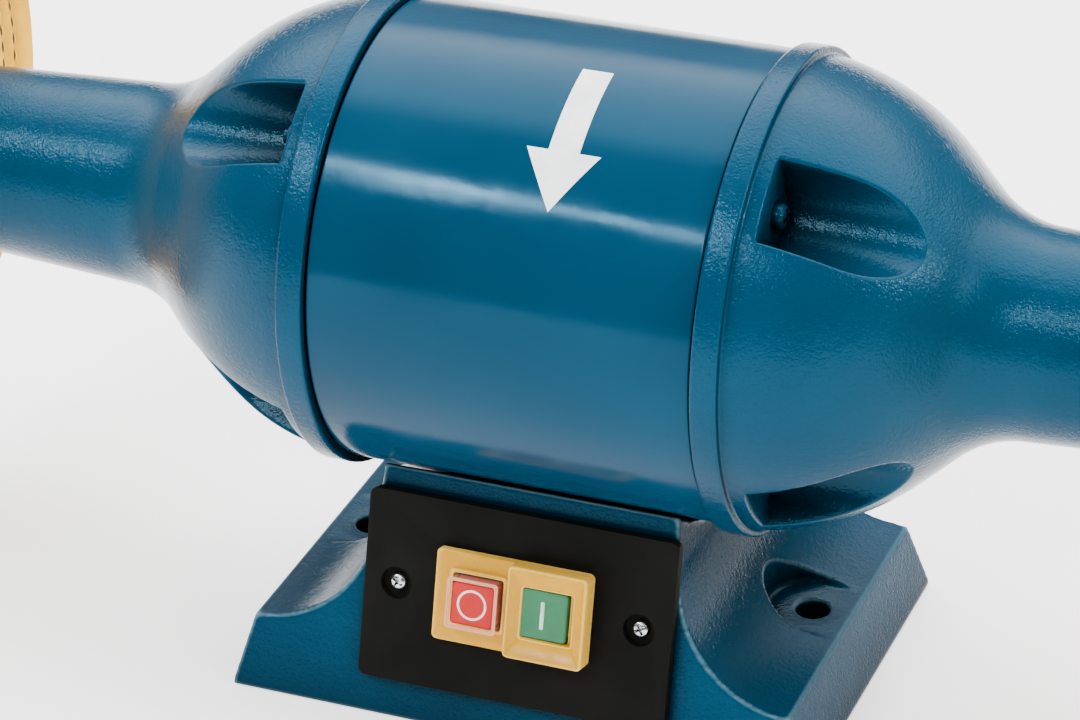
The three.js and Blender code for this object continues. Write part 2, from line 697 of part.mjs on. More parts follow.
function terminalBlock() {
  const floor = BOTTOM.low + BOTTOM.thick + GAP;
  const block = box(TERMINAL.x - TERMINAL.width / 2, TERMINAL.x + TERMINAL.width / 2,
    TERMINAL.y - TERMINAL.depth / 2, TERMINAL.y + TERMINAL.depth / 2, floor, floor + TERMINAL.height);
  const ways = [-10, 0, 10].map((offset) =>
    upright(TERMINAL.x + offset, TERMINAL.y, floor + 5, floor + TERMINAL.height + 1, 2, 10));
  return cut(block, ...ways);
}

function buildBase() {
  add(machine, 'base_casting', baseCasting(), BLUE_CAST);
  add(machine, 'bottom_cover', bottomCover(), ZINC);
  corners(BOTTOM.screwX, BOTTOM.screwY).forEach(([x, y], index) => {
    add(machine, `bottom_cover_screw_${index + 1}`, aimed(coverScrew(), UP, [x, y, 0]), ZINC);
  });
  add(machine, 'left_saddle_bolt', saddleBolt(-SADDLE_BOLT.x), ZINC);
  add(machine, 'right_saddle_bolt', saddleBolt(SADDLE_BOLT.x), ZINC);
  add(machine, 'wire_grommet', wireGrommet(), BLACK);
  add(machine, 'cable_gland', cableGland(), BLACK);
  add(machine, 'gland_nut', glandNut(), BLACK);
  const can = rod(CAN.x, CAN.x + CAN.length, CAN.radius, 20).translate([0, CAN.y, CAN.z]);
  add(machine, 'run_capacitor', can, GREY_CAN);
  add(machine, 'capacitor_strap', capacitorStrap(), ZINC);
  add(machine, 'terminal_block', terminalBlock(), BLACK);
}

// ---------- switch panel ----------

const PLATE_FRONT = GAP + PLATE.thick;

function switchPlate() {
  const outline = roundedRectangle(PLATE.width, PLATE.height, PLATE.corner, 0, -PLATE.top - PLATE.height / 2);
  const window = roundedRectangle(SWITCH_BODY.width + 0.6, SWITCH_BODY.height + 0.6, 0.8,
    SWITCH.x, -SWITCH.down);
  const tools = [slab(window, -1, 6)];
  for (const side of [-1, 1]) {
    const [x, y] = [side * PLATE_SCREW.x, -PLATE_SCREW.down];
    tools.push(upright(x, y, PLATE_FRONT - PLATE_SCREW.recessDepth, 6, PLATE_SCREW.recess, 24));
    tools.push(upright(x, y, -1, 6, PLATE_SCREW.shank + GAP, 12));
  }
  return cut(slab(outline, GAP, PLATE_FRONT, 4), ...tools);
}

const plateScrew = (side) => {
  const seat = PLATE_FRONT - PLATE_SCREW.recessDepth + GAP;
  const body = turned([
    [-9, 0], [-9, PLATE_SCREW.shank], [seat, PLATE_SCREW.shank], [seat, PLATE_SCREW.head],
    [seat + 1.2, PLATE_SCREW.head], [seat + 2, 1.6], [seat + 2, 0],
  ], 16);
  return aimed(body, UP, [side * PLATE_SCREW.x, -PLATE_SCREW.down, 0]);
};

const buttonHole = (button, x) => roundedRectangle(button.width + 0.8, button.height + 0.8, 1, x, 0);

// Yellow surround: a flange round both buttons and a raised collar round the start button.
function switchBezel() {
  const low = PLATE_FRONT + GAP;
  const high = low + SWITCH.flange;
  const flange = slab(roundedRectangle(SWITCH.width, SWITCH.height, 1.6), low, high);
  const collarWidth = SWITCH.width / 2;
  const collar = slab(roundedRectangle(collarWidth, SWITCH.height, 1.6, collarWidth / 2, 0),
    low, high + SWITCH.collar);
  const holes = [
    slab(buttonHole(STOP, -SWITCH.pitch), 0, 20),
    slab(buttonHole(START, SWITCH.pitch), 0, 20),
  ];
  return cut(flange.add(collar), ...holes);
}

function switchBody() {
  const block = box(-SWITCH_BODY.width / 2, SWITCH_BODY.width / 2,
    -SWITCH_BODY.height / 2, SWITCH_BODY.height / 2, -SWITCH_BODY.depth, PLATE_FRONT);
  const wells = [-1, 1].map((side) => slab(
    roundedRectangle(SWITCH_BODY.well, SWITCH_BODY.well, 1, side * SWITCH.pitch, 0),
    -SWITCH_BODY.wellDepth, PLATE_FRONT + 1));
  return cut(block, ...wells);
}

function button(size, x) {
  const flangeTop = PLATE_FRONT + GAP + SWITCH.flange;
  const bottom = -SWITCH_BODY.wellDepth + size.travel + 1;
  return slab(roundedRectangle(size.width, size.height, 1, x, 0), bottom, flangeTop + size.proud);
}

function buildSwitch() {
  add(frontFace, 'switch_plate', switchPlate(), BLACK);
  add(frontFace, 'left_plate_screw', plateScrew(-1), ZINC);
  add(frontFace, 'right_plate_screw', plateScrew(1), ZINC);
  const unit = new THREE.Group();
  unit.position.set(SWITCH.x, -SWITCH.down, 0);
  frontFace.add(unit);
  add(unit, 'switch_bezel', switchBezel(), YELLOW);
  add(unit, 'switch_body', switchBody(), BLACK);
  add(unit, 'stop_button', button(STOP, -SWITCH.pitch), RED);
  add(unit, 'start_button', button(START, SWITCH.pitch), GREEN);
}

buildBase();
buildSwitch();
buildMotor();
buildBearings();
buildSpindle();

export default machine;
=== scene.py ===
"""Looks for the long-spindle bench grinder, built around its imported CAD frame."""
import json
import math
import random

import bmesh
import bpy
from mathutils import Matrix, Vector

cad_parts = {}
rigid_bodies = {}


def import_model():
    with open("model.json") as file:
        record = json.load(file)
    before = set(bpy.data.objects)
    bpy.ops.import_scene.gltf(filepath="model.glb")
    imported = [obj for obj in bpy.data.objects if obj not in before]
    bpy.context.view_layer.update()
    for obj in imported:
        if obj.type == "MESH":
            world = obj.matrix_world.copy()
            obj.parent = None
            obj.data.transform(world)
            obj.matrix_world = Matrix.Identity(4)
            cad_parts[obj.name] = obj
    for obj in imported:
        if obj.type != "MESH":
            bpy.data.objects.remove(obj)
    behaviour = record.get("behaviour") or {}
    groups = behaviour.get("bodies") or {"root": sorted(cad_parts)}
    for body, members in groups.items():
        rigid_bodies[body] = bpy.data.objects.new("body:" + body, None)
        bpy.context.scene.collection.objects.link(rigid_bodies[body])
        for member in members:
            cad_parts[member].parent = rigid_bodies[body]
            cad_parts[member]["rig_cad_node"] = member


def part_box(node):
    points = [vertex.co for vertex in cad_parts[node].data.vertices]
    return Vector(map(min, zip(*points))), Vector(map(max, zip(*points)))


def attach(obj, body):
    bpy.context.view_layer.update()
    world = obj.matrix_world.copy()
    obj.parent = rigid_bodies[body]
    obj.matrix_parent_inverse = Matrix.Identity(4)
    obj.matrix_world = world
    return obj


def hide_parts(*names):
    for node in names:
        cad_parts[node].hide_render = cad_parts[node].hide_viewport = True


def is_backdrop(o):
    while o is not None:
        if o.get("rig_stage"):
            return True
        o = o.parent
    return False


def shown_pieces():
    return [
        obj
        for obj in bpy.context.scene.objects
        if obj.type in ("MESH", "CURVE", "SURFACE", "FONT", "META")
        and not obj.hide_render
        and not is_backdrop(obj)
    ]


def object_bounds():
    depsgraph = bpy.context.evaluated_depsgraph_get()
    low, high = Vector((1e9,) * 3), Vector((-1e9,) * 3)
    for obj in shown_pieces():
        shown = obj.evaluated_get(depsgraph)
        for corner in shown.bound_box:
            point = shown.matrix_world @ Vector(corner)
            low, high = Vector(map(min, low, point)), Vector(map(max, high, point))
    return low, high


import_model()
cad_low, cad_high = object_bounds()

MM = 0.001  # shapes are drawn in millimetres and stored in metres
SIDES = (("right", 1), ("left", -1))

# ---------- places taken from the frame ----------


def box_mm(node):
    """Lowest and highest corners of a CAD node, in millimetres."""
    low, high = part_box(node)
    return low / MM, high / MM


shell_low, shell_high = box_mm("motor_shell")
AXIS_HEIGHT = (shell_low.z + shell_high.z) / 2
SHELL_RADIUS = (shell_high.z - shell_low.z) / 2
SHELL_HALF = shell_high.x
SHELL_WALL = 2.5

bell_low, bell_high = box_mm("right_end_bell")
BAND_RADIUS = (bell_high.z - bell_low.z) / 2
ARM_END = box_mm("right_arm")[1].x
SPIGOT_START = bell_low.x
SEAM = SHELL_HALF + 1.3
BAND_END = SEAM + 8.7

base_high = box_mm("base_casting")[1]
BASE_HALF = base_high.x
BASE_HALF_DEPTH = base_high.y

wheel_low, wheel_high = box_mm("right_buffing_wheel")
WHEEL_RADIUS = (wheel_high.z - wheel_low.z) / 2

SPINDLE_END = cad_high.x / MM


# ---------- mesh helpers ----------


def in_scene(name, data):
    """An object for the data, linked to the scene."""
    made = bpy.data.objects.new(name, data)
    bpy.context.scene.collection.objects.link(made)
    return made


def as_object(name, points, faces):
    """A smooth-shaded mesh object from millimetre points."""
    mesh = bpy.data.meshes.new(name)
    mesh.from_pydata([Vector(p) * MM for p in points], [], faces)
    mesh.validate()
    made = in_scene(name, mesh)
    face_out(made)
    for polygon in mesh.polygons:
        polygon.use_smooth = True
    return made


def face_out(obj):
    """Welds doubled points, drops empty faces and turns every face outward."""
    work = bmesh.new()
    work.from_mesh(obj.data)
    bmesh.ops.remove_doubles(work, verts=work.verts, dist=1e-7)
    bmesh.ops.dissolve_degenerate(work, edges=work.edges, dist=1e-8)
    bmesh.ops.recalc_face_normals(work, faces=work.faces)
    work.to_mesh(obj.data)
    work.free()


def loft(name, rows, loop_rows=False):
    """A surface through rows of points; each row is a closed ring with the same number of points."""
    count = len(rows[0])
    points = [point for row in rows for point in row]
    faces = []
    last = len(rows) if loop_rows else len(rows) - 1
    for i in range(last):
        here, there = i * count, ((i + 1) % len(rows)) * count
        for j in range(count):
            k = (j + 1) % count
            faces.append((here + j, here + k, there + k, there + j))
    if not loop_rows:
        faces.append(tuple(range(count)))
        faces.append(tuple(range((len(rows) - 1) * count, len(rows) * count)))
    return as_object(name, points, faces)


def soften(outline, fillet, steps=4, closed=True):
    """The outline with every corner rounded; fillet is one radius or one for each point."""
    radii = fillet if isinstance(fillet, (list, tuple)) else [fillet] * len(outline)
    made = []
    for i, corner in enumerate(outline):
        here = Vector(corner)
        if not closed and i in (0, len(outline) - 1) or radii[i] == 0:
            made.append(tuple(here))
            continue
        before, after = Vector(outline[i - 1]), Vector(outline[(i + 1) % len(outline)])
        reach = min(radii[i], (before - here).length * 0.45, (after - here).length * 0.45)
        start = here + (before - here).normalized() * reach
        end = here + (after - here).normalized() * reach
        for step in range(steps + 1):
            t = step / steps
            made.append(tuple(start.lerp(here, t).lerp(here.lerp(end, t), t)))
    return made


def turned(name, outline, fillet=0.4, segments=96, steps=3, twist=None):
    """A solid of revolution about X; outline holds (x, radius) points."""
    on_axis = outline[0][1] == 0 and outline[-1][1] == 0
    soft = soften(outline, fillet, steps, closed=not on_axis)
    rows = []
    for x, radius in soft:
        ring = []
        for j in range(segments):
            angle = 2 * math.pi * j / segments
            grown = radius + (twist(x, angle, radius) if twist and radius > 0 else 0)
            ring.append((x, grown * math.cos(angle), grown * math.sin(angle)))
        rows.append(ring)
    return loft(name, rows, loop_rows=not on_axis)


def rounded_rectangle(width, height, corner, steps=5, x=0.0, y=0.0):
    """Corner-rounded rectangle as points, anticlockwise."""
    points = []
    for turn, (sx, sy) in enumerate(((1, 1), (-1, 1), (-1, -1), (1, -1))):
        for step in range(steps + 1):
            angle = math.pi / 2 * (turn + step / steps)
            points.append((
                x + sx * (width / 2 - corner) + corner * math.cos(angle),
                y + sy * (height / 2 - corner) + corner * math.sin(angle),
            ))
    return points


def inset_layers(width, height, steps):
    """Layers of a rectangle drawn in by each step's inset; a step is (inset, corner, z)."""
    return [(width - inset, height - inset, corner, z) for inset, corner, z in steps]


def stacked(name, layers, steps=6, x=0.0, hollow=False):
    """A solid from rounded-rectangle layers about x: each is (width, height, corner, z)."""
    rows = [[(px, py, z) for px, py in rounded_rectangle(width, height, corner, steps, x)]
            for width, height, corner, z in layers]
    return loft(name, rows, loop_rows=hollow)


def prism(name, outline, low, high, axis="z"):
    """A straight prism along an axis; its outline lies in the other two, in the order x, y, z."""
    order = "xyz".index(axis)
    rows = [[(*point[:order], at, *point[order:]) for point in outline] for at in (low, high)]
    return loft(name, rows)


def cylinder(name, radius, low, high, centre, axis="z", segments=64):
    """A round bar along an axis; centre is its place in the other two."""
    outline = []
    for j in range(segments):
        angle = 2 * math.pi * j / segments
        outline.append((centre[0] + radius * math.cos(angle), centre[1] + radius * math.sin(angle)))
    return prism(name, outline, low, high, axis)


def modified(obj, kind, **values):
    """Applies a modifier with these settings to the object's mesh."""
    step = obj.modifiers.new(kind, kind)
    for key, value in values.items():
        setattr(step, key, value)
    bpy.context.view_layer.update()
    graph = bpy.context.evaluated_depsgraph_get()
    mesh = bpy.data.meshes.new_from_object(obj.evaluated_get(graph))
    obj.modifiers.clear()
    old = obj.data
    obj.data = mesh
    mesh.name = obj.name
    bpy.data.meshes.remove(old)
    return obj


def combine(obj, other, how):
    """Joins, cuts or intersects obj with another object, which is used up."""
    modified(obj, "BOOLEAN", operation=how, solver="EXACT", object=other)
    bpy.data.objects.remove(other)
    return obj


def cut(obj, *tools):
    """Cuts each of the tools out of obj."""
    for tool in tools:
        combine(obj, tool, "DIFFERENCE")
    return obj


def smooth(obj, angle):
    """Smooth shading, with edges sharper than the angle left crisp."""
    work = bmesh.new()
    work.from_mesh(obj.data)
    limit = math.radians(angle)
    for edge in work.edges:
        edge.smooth = len(edge.link_faces) != 2 or edge.calc_face_angle(0) < limit
    for face in work.faces:
        face.smooth = True
    work.to_mesh(obj.data)
    work.free()
    return obj


def placed(obj, matrix):
    """The piece with its mesh moved by a matrix in metres."""
    obj.data.transform(matrix)
    obj.data.update()
    return obj


def mirrored(obj, side):
    """The same piece for the other end of the spindle."""
    if side < 0:
        obj.data.transform(Matrix.Scale(-1, 4, (1, 0, 0)))
        face_out(obj)
    return obj


def on_spindle(obj):
    """Lifts a piece drawn about the X axis to the spindle's height."""
    return placed(obj, Matrix.Translation((0, 0, AXIS_HEIGHT * MM)))


def aimed(obj, direction, place):
    """Turns a piece drawn along +X to a direction and moves it to a place in millimetres."""
    turn = Vector((1, 0, 0)).rotation_difference(Vector(direction)).to_matrix().to_4x4()
    return placed(obj, Matrix.Translation(Vector(place) * MM) @ turn)


def join(name, pieces):
    """One object from several separate solids."""
    work = bmesh.new()
    for piece in pieces:
        work.from_mesh(piece.data)
        bpy.data.objects.remove(piece)
    mesh = bpy.data.meshes.new(name)
    work.to_mesh(mesh)
    work.free()
    return in_scene(name, mesh)


def finish_piece(obj, material, body, slot, *nodes):
    """Gives a piece its material and its body, and hides the CAD nodes it stands for; slot is not used."""
    obj.data.materials.clear()
    obj.data.materials.append(material)
    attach(obj, body)
    if nodes:
        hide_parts(*nodes)
    return obj


# ---------- material helpers ----------


class Shader:
    """A node material with a Principled shader and short calls for what feeds it."""

    def __init__(self, name, **values):
        self.material = bpy.data.materials.new(name)
        self.material.use_nodes = True
        self.tree = self.material.node_tree
        self.main = self.tree.nodes["Principled BSDF"]
        for key, value in values.items():
            self.main.inputs[key.replace("_", " ")].default_value = value
        coordinates = self.tree.nodes.new("ShaderNodeTexCoord")
        self.place = coordinates.outputs["Object"]
        self.normal = None

    def link(self, source, target):
        self.tree.links.new(source, target)

    def node(self, kind, **values):
        made = self.tree.nodes.new(kind)
        for key, value in values.items():
            if hasattr(made, key):
                setattr(made, key, value)
            else:
                made.inputs[key.replace("_", " ")].default_value = value
        return made

    def stretched(self, scale):
        mapping = self.node("ShaderNodeMapping")
        mapping.inputs["Scale"].default_value = scale
        self.link(self.place, mapping.inputs["Vector"])
        return mapping.outputs["Vector"]

    def noise(self, scale, detail=3.0, roughness=0.55, stretch=None):
        made = self.node("ShaderNodeTexNoise", Scale=scale, Detail=detail, Roughness=roughness)
        self.link(self.stretched(stretch) if stretch else self.place, made.inputs["Vector"])
        return made.outputs["Fac"]

    def ramp(self, source, *stops):
        """A colour ramp through (position, value) stops; a value is a grey or a colour."""
        made = self.node("ShaderNodeValToRGB")
        elements = made.color_ramp.elements
        while len(elements) < len(stops):
            elements.new(0.5)
        for element, (position, value) in zip(elements, stops):
            element.position = position
            element.color = (value, value, value, 1) if isinstance(value, float) else (*value, 1)
        self.link(source, made.inputs["Fac"])
        return made.outputs["Color"]

    def painted_shade(self, colour, reach):
        """The colour with painted shade: darkened in corners and hollows narrower than the reach in
        millimetres, where shade falls.
        """
        open_air = self.node("ShaderNodeAmbientOcclusion", samples=6, Distance=reach * MM)
        light = self.ramp(open_air.outputs["AO"], (0.15, 0.03), (0.6, 0.45), (0.95, 1.0))
        made = self.node("ShaderNodeMix", data_type="RGBA", blend_type="MULTIPLY")
        made.inputs[0].default_value = 1.0
        self.link(colour, made.inputs[6])
        self.link(light, made.inputs[7])
        return made.outputs[2]

    def maths(self, how, a, b):
        made = self.node("ShaderNodeMath", operation=how)
        for socket, value in zip(made.inputs, (a, b)):
            if isinstance(value, (int, float)):
                socket.default_value = value
            else:
                self.link(value, socket)
        return made.outputs[0]

    def mix(self, share, a, b):
        made = self.node("ShaderNodeMix", data_type="RGBA")
        sockets = (made.inputs[0], made.inputs[6], made.inputs[7])
        for socket, value in zip(sockets, (share, a, b)):
            if isinstance(value, (int, float)):
                socket.default_value = value
            elif isinstance(value, tuple):
                socket.default_value = (*value, 1)
            else:
                self.link(value, socket)
        return made.outputs[2]

    def painted_edge_highlight(self, start, end, most):
        """A share that is 0 on flat faces and grows to the given most along sharp edges, where a highlight is
        painted.
        """
        sharp = self.node("ShaderNodeNewGeometry").outputs["Pointiness"]
        return self.ramp(sharp, (start, 0.0), (end, most))

    def bump(self, height, distance, strength=1.0):
        """Adds a layer of relief; distance is in millimetres."""
        made = self.node("ShaderNodeBump", Strength=strength, Distance=distance * MM)
        self.link(height, made.inputs["Height"])
        if self.normal:
            self.link(self.normal, made.inputs["Normal"])
        self.normal = made.outputs["Normal"]
        self.link(self.normal, self.main.inputs["Normal"])

    def feed(self, socket, source):
        self.link(source, self.main.inputs[socket])


BLUE = (0.0004, 0.030, 0.063)
BLUE_LIGHT = (0.0008, 0.036, 0.074)
BLUE_DARK = (0.0002, 0.024, 0.052)
# pale blue painted along sharp edges of the base as a highlight
BLUE_EDGE_HIGHLIGHT = (0.13, 0.27, 0.34)
BLUE_SHEEN = (0.34, 0.72, 1.0, 1.0)


def cast_paint(name, gloss, edge=0.0):
    """Gloss enamel over a sand-cast skin: pitted, so that highlights sparkle, with painted shade in its
    hollows, and duller on end faces to paint shade there.

    edge is how far a painted highlight pales the coat along sharp edges.
    """
    s = Shader(name, Roughness=0.16, IOR=1.26)
    s.main.inputs["Specular Tint"].default_value = BLUE_SHEEN
    coat = s.ramp(s.noise(14.0, 3.0), (0.32, BLUE_DARK), (0.52, BLUE), (0.72, BLUE_LIGHT))
    # painted highlight along sharp edges
    if edge:
        coat = s.mix(s.painted_edge_highlight(0.515, 0.56, edge), coat, BLUE_EDGE_HIGHLIGHT)
    # painted shade: the coat is darkened in hollows within 30 mm
    s.feed("Base Color", s.painted_shade(coat, 30))
    s.feed("Roughness", s.ramp(s.noise(60.0, 4.0), (0.3, 0.12), (0.7, 0.22)))
    # painted shade: faces turned along the spindle lose most of their reflection, so the end faces read
    # darker
    sideways = s.node("ShaderNodeSeparateXYZ")
    s.link(s.node("ShaderNodeNewGeometry").outputs["Normal"], sideways.inputs[0])
    ends = s.maths("ABSOLUTE", sideways.outputs["X"], 0.0)
    s.feed("Specular IOR Level", s.ramp(ends, (0.8, gloss), (0.93, 0.1)))
    s.bump(s.noise(95.0, 2.0), 0.4, 0.3)
    s.bump(s.noise(560.0, 2.0, 0.5), 0.15, 0.75)
    s.bump(s.noise(1250.0, 2.0, 0.6), 0.13, 0.9)
    pits = s.node("ShaderNodeTexVoronoi", Scale=800.0)
    s.link(s.place, pits.inputs["Vector"])
    s.bump(s.ramp(pits.outputs["Distance"], (0.1, 0.0), (0.45, 1.0)), 0.07, 0.6)
    return s.material


def shell_paint():
    """Smooth high-gloss enamel on rolled sheet, with a faint long-wave peel."""
    s = Shader("shell_paint", Roughness=0.14, IOR=1.26)
    s.main.inputs["Specular Tint"].default_value = BLUE_SHEEN
    s.feed("Base Color", s.ramp(s.noise(9.0, 2.0), (0.3, BLUE_DARK), (0.5, BLUE), (0.75, BLUE_LIGHT)))
    s.feed("Roughness", s.ramp(s.noise(40.0, 3.0), (0.35, 0.11), (0.7, 0.19)))
    s.bump(s.noise(30.0, 1.0, stretch=(1.4, 0.3, 0.3)), 0.9, 0.3)
    s.bump(s.noise(240.0, 2.0), 0.045, 0.7)
    return s.material


def black_plate():
    """Matte black moulded plate with a fine even grain."""
    s = Shader("black_plate", Roughness=0.6, Specular_IOR_Level=0.045)
    s.feed("Base Color", s.ramp(s.noise(30.0, 3.0),
                                (0.3, (0.0025, 0.0026, 0.0021)), (0.7, (0.005, 0.005, 0.0042))))
    s.bump(s.noise(1500.0, 2.0), 0.03, 0.6)
    return s.material


def plastic(name, colour, roughness, edge=None):
    """Moulded plastic with slight colour drift and a fine grain; edge is a paler tone painted along its rims
    as a highlight.
    """
    s = Shader(name, Roughness=roughness, Specular_IOR_Level=0.18)
    shade = tuple(c * 0.86 for c in colour)
    body = s.ramp(s.noise(120.0, 2.0), (0.3, shade), (0.7, colour))
    # painted highlight along sharp rims
    if edge:
        body = s.mix(s.painted_edge_highlight(0.505, 0.56, 0.8), body, edge)
    s.feed("Base Color", body)
    s.feed("Roughness", s.ramp(s.noise(260.0, 3.0), (0.3, roughness - 0.06), (0.7, roughness + 0.08)))
    s.bump(s.noise(900.0, 2.0), 0.015, 0.4)
    return s.material


def clear_cover():
    """Thin clear plastic over the stop button, faintly cream, denser at its edges."""
    s = Shader("clear_cover", Roughness=0.15, Specular_IOR_Level=0.2)
    s.feed("Base Color", s.ramp(s.noise(90.0, 2.0), (0.3, (0.93, 0.70, 0.50)), (0.7, (1.0, 0.80, 0.60))))
    edge = s.node("ShaderNodeLayerWeight", Blend=0.35)
    s.feed("Alpha", s.ramp(edge.outputs["Facing"], (0.12, 0.0), (0.9, 0.3)))
    s.bump(s.noise(700.0, 2.0), 0.01, 0.4)
    return s.material


def metal(name, colour, roughness, grain=(1.0, 1.0, 1.0), grain_scale=300.0, relief=0.02):
    """Metal with uneven polish and a directional grain."""
    s = Shader(name, Metallic=1.0, Roughness=roughness)
    shade = tuple(c * 0.8 for c in colour)
    s.feed("Base Color", s.ramp(s.noise(35.0, 4.0), (0.3, shade), (0.65, colour)))
    s.feed("Roughness", s.ramp(s.noise(grain_scale, 4.0, stretch=grain),
                               (0.25, max(roughness - 0.1, 0.05)), (0.75, roughness + 0.14)))
    s.bump(s.noise(grain_scale, 3.0, stretch=grain), relief, 0.6)
    return s.material


def cloth(name, shade, tone, light):
    """Treated cotton: plain weave, loose fibres and patches of darker dressing, with painted shade in the
    hollows between plies and stitches.
    """
    s = Shader(name, Roughness=0.95, Sheen_Weight=0.08, Sheen_Roughness=0.5, Specular_IOR_Level=0.05)
    patches = s.ramp(s.noise(45.0, 5.0), (0.3, shade), (0.5, tone), (0.75, light))
    warp = s.node("ShaderNodeTexWave", Scale=420.0, Distortion=1.2, Detail=1.0, bands_direction="Y")
    weft = s.node("ShaderNodeTexWave", Scale=420.0, Distortion=1.2, Detail=1.0, bands_direction="Z")
    s.link(s.place, warp.inputs["Vector"])
    s.link(s.place, weft.inputs["Vector"])
    threads = s.maths("MULTIPLY", warp.outputs["Fac"], weft.outputs["Fac"])
    # painted shade: the colour is darkened in hollows within 3.5 mm
    s.feed("Base Color", s.painted_shade(s.mix(s.maths("MULTIPLY", threads, 0.35), patches, light), 3.5))
    s.bump(threads, 0.2, 0.8)
    s.bump(s.noise(240.0, 4.0), 0.3, 0.6)
    return s.material


CAST_PAINT = cast_paint("cast_paint", 0.5)
# shaded copy of the cast paint: less reflection as painted shade under the motor, plus a painted edge
# highlight
BASE_PAINT = cast_paint("base_paint", 0.34, 0.8)
SHELL_PAINT = shell_paint()
BLACK_PLATE = black_plate()
BLACK_PLASTIC = plastic("black_plastic", (0.02, 0.02, 0.021), 0.42)
BLACK_RUBBER = plastic("black_rubber", (0.012, 0.012, 0.012), 0.75)
# the paler third colour is a highlight painted along the bezel's rims
YELLOW = plastic("yellow_plastic", (0.56, 0.27, 0.0), 0.28, (0.86, 0.55, 0.10))
RED = plastic("red_plastic", (0.46, 0.012, 0.013), 0.36)
GREEN = plastic("green_plastic", (0.026, 0.15, 0.068), 0.36)
SYMBOL = plastic("symbol_print", (0.83, 0.72, 0.68), 0.5)
PALE_SYMBOL = plastic("pale_symbol_print", (0.55, 0.72, 0.60), 0.5)
DECAL = plastic("decal_print", (0.86, 0.88, 0.88), 0.35)
CLEAR = clear_cover()
CREAM = plastic("cover_edge", (0.66, 0.29, 0.17), 0.3)
ZINC = metal("zinc_plate", (0.50, 0.51, 0.52), 0.28)
CHROME = metal("bright_screw", (0.5, 0.51, 0.52), 0.2, relief=0.01)
STEEL = metal("ground_steel", (0.46, 0.46, 0.46), 0.3, (6.0, 1.0, 1.0), 900.0)
IRON = metal("lamination", (0.26, 0.26, 0.27), 0.45, (9.0, 0.4, 0.4), 420.0, 0.05)
COPPER = metal("copper_winding", (0.60, 0.23, 0.09), 0.32, (0.5, 3.0, 3.0), 300.0, 0.2)
ALUMINIUM = metal("cast_aluminium", (0.66, 0.67, 0.68), 0.42, relief=0.05)
CAN = plastic("capacitor_case", (0.62, 0.63, 0.62), 0.4)
CLOTH = cloth("yellow_cloth", (0.60, 0.275, 0.004), (0.76, 0.37, 0.008), (0.88, 0.46, 0.02))
THREAD = cloth("stitch_thread", (0.60, 0.38, 0.10), (0.70, 0.48, 0.16), (0.78, 0.56, 0.22))

# ---------- end bells ----------

CROWN_RADIUS = 86.0
CROWN_FROM = math.radians(8)
STEEPEST = math.radians(43)
SHOULDER = 75.0
SLOPE_END = 129.5
NECK_RADIUS = 34.0
TAPER = math.radians(3.2)
ARM_TIP_RADIUS = 29.0

CROWN_CENTRE = (BAND_END - CROWN_RADIUS * math.sin(CROWN_FROM),
                SHOULDER - CROWN_RADIUS * math.cos(CROWN_FROM))
CROWN_END = (CROWN_CENTRE[0] + CROWN_RADIUS * math.sin(STEEPEST),
             CROWN_CENTRE[1] + CROWN_RADIUS * math.cos(STEEPEST))
NECK_START = (SLOPE_END, CROWN_END[1] - (SLOPE_END - CROWN_END[0]) * math.tan(STEEPEST))
NECK_CENTRE = (NECK_START[0] + NECK_RADIUS * math.sin(STEEPEST),
               NECK_START[1] + NECK_RADIUS * math.cos(STEEPEST))
NECK_END = (NECK_CENTRE[0] - NECK_RADIUS * math.sin(TAPER), NECK_CENTRE[1] - NECK_RADIUS * math.cos(TAPER))

POCKET_WALL = 77.0  # where the tie bolt's head bears
POCKET_CENTRE = 65.0
POCKET_RADIUS = 13.0
POCKET_GROWTH = 0.055
POCKET_DRAFT = math.tan(math.radians(4))
LINING = 4.0
LINING_RADIUS = 66.0
CAP_BORE, BEARING_BORE, ARM_BORE = 26.3, 23.8, 22
TIE_RADIUS = 61.0
TIE_ANGLES = [math.radians(50 + 90 * i) for i in range(4)]

# points along each stretch of a quarter of the bell's section
ARC_STEPS, RIM_STEPS, FLOOR_STEPS = 9, 4, 29


def bell_radius(x):
    """Outside radius of the bell and its arm at a station along the spindle."""
    if x <= CROWN_END[0]:
        return CROWN_CENTRE[1] + math.sqrt(CROWN_RADIUS ** 2 - (x - CROWN_CENTRE[0]) ** 2)
    if x <= SLOPE_END:
        return CROWN_END[1] - (x - CROWN_END[0]) * math.tan(STEEPEST)
    if x <= NECK_END[0]:
        return NECK_CENTRE[1] - math.sqrt(NECK_RADIUS ** 2 - (x - NECK_CENTRE[0]) ** 2)
    share = (x - NECK_END[0]) / (ARM_END - 2 - NECK_END[0])
    return NECK_END[1] + share * (ARM_TIP_RADIUS - NECK_END[1])


def notch_edge(radius, half_width):
    """Where a circle about the spindle meets the pocket's side: (across, outward), or None."""
    if radius <= POCKET_CENTRE - half_width + 1e-6:
        return None
    outward = (radius ** 2 + POCKET_CENTRE ** 2 - half_width ** 2) / (2 * POCKET_CENTRE)
    if outward <= POCKET_CENTRE:
        return math.sqrt(max(radius ** 2 - outward ** 2, 0)), outward
    across = half_width
    for _ in range(12):
        outward = math.sqrt(radius ** 2 - across ** 2)
        across = half_width + (outward - POCKET_CENTRE) * POCKET_DRAFT
    return across, outward


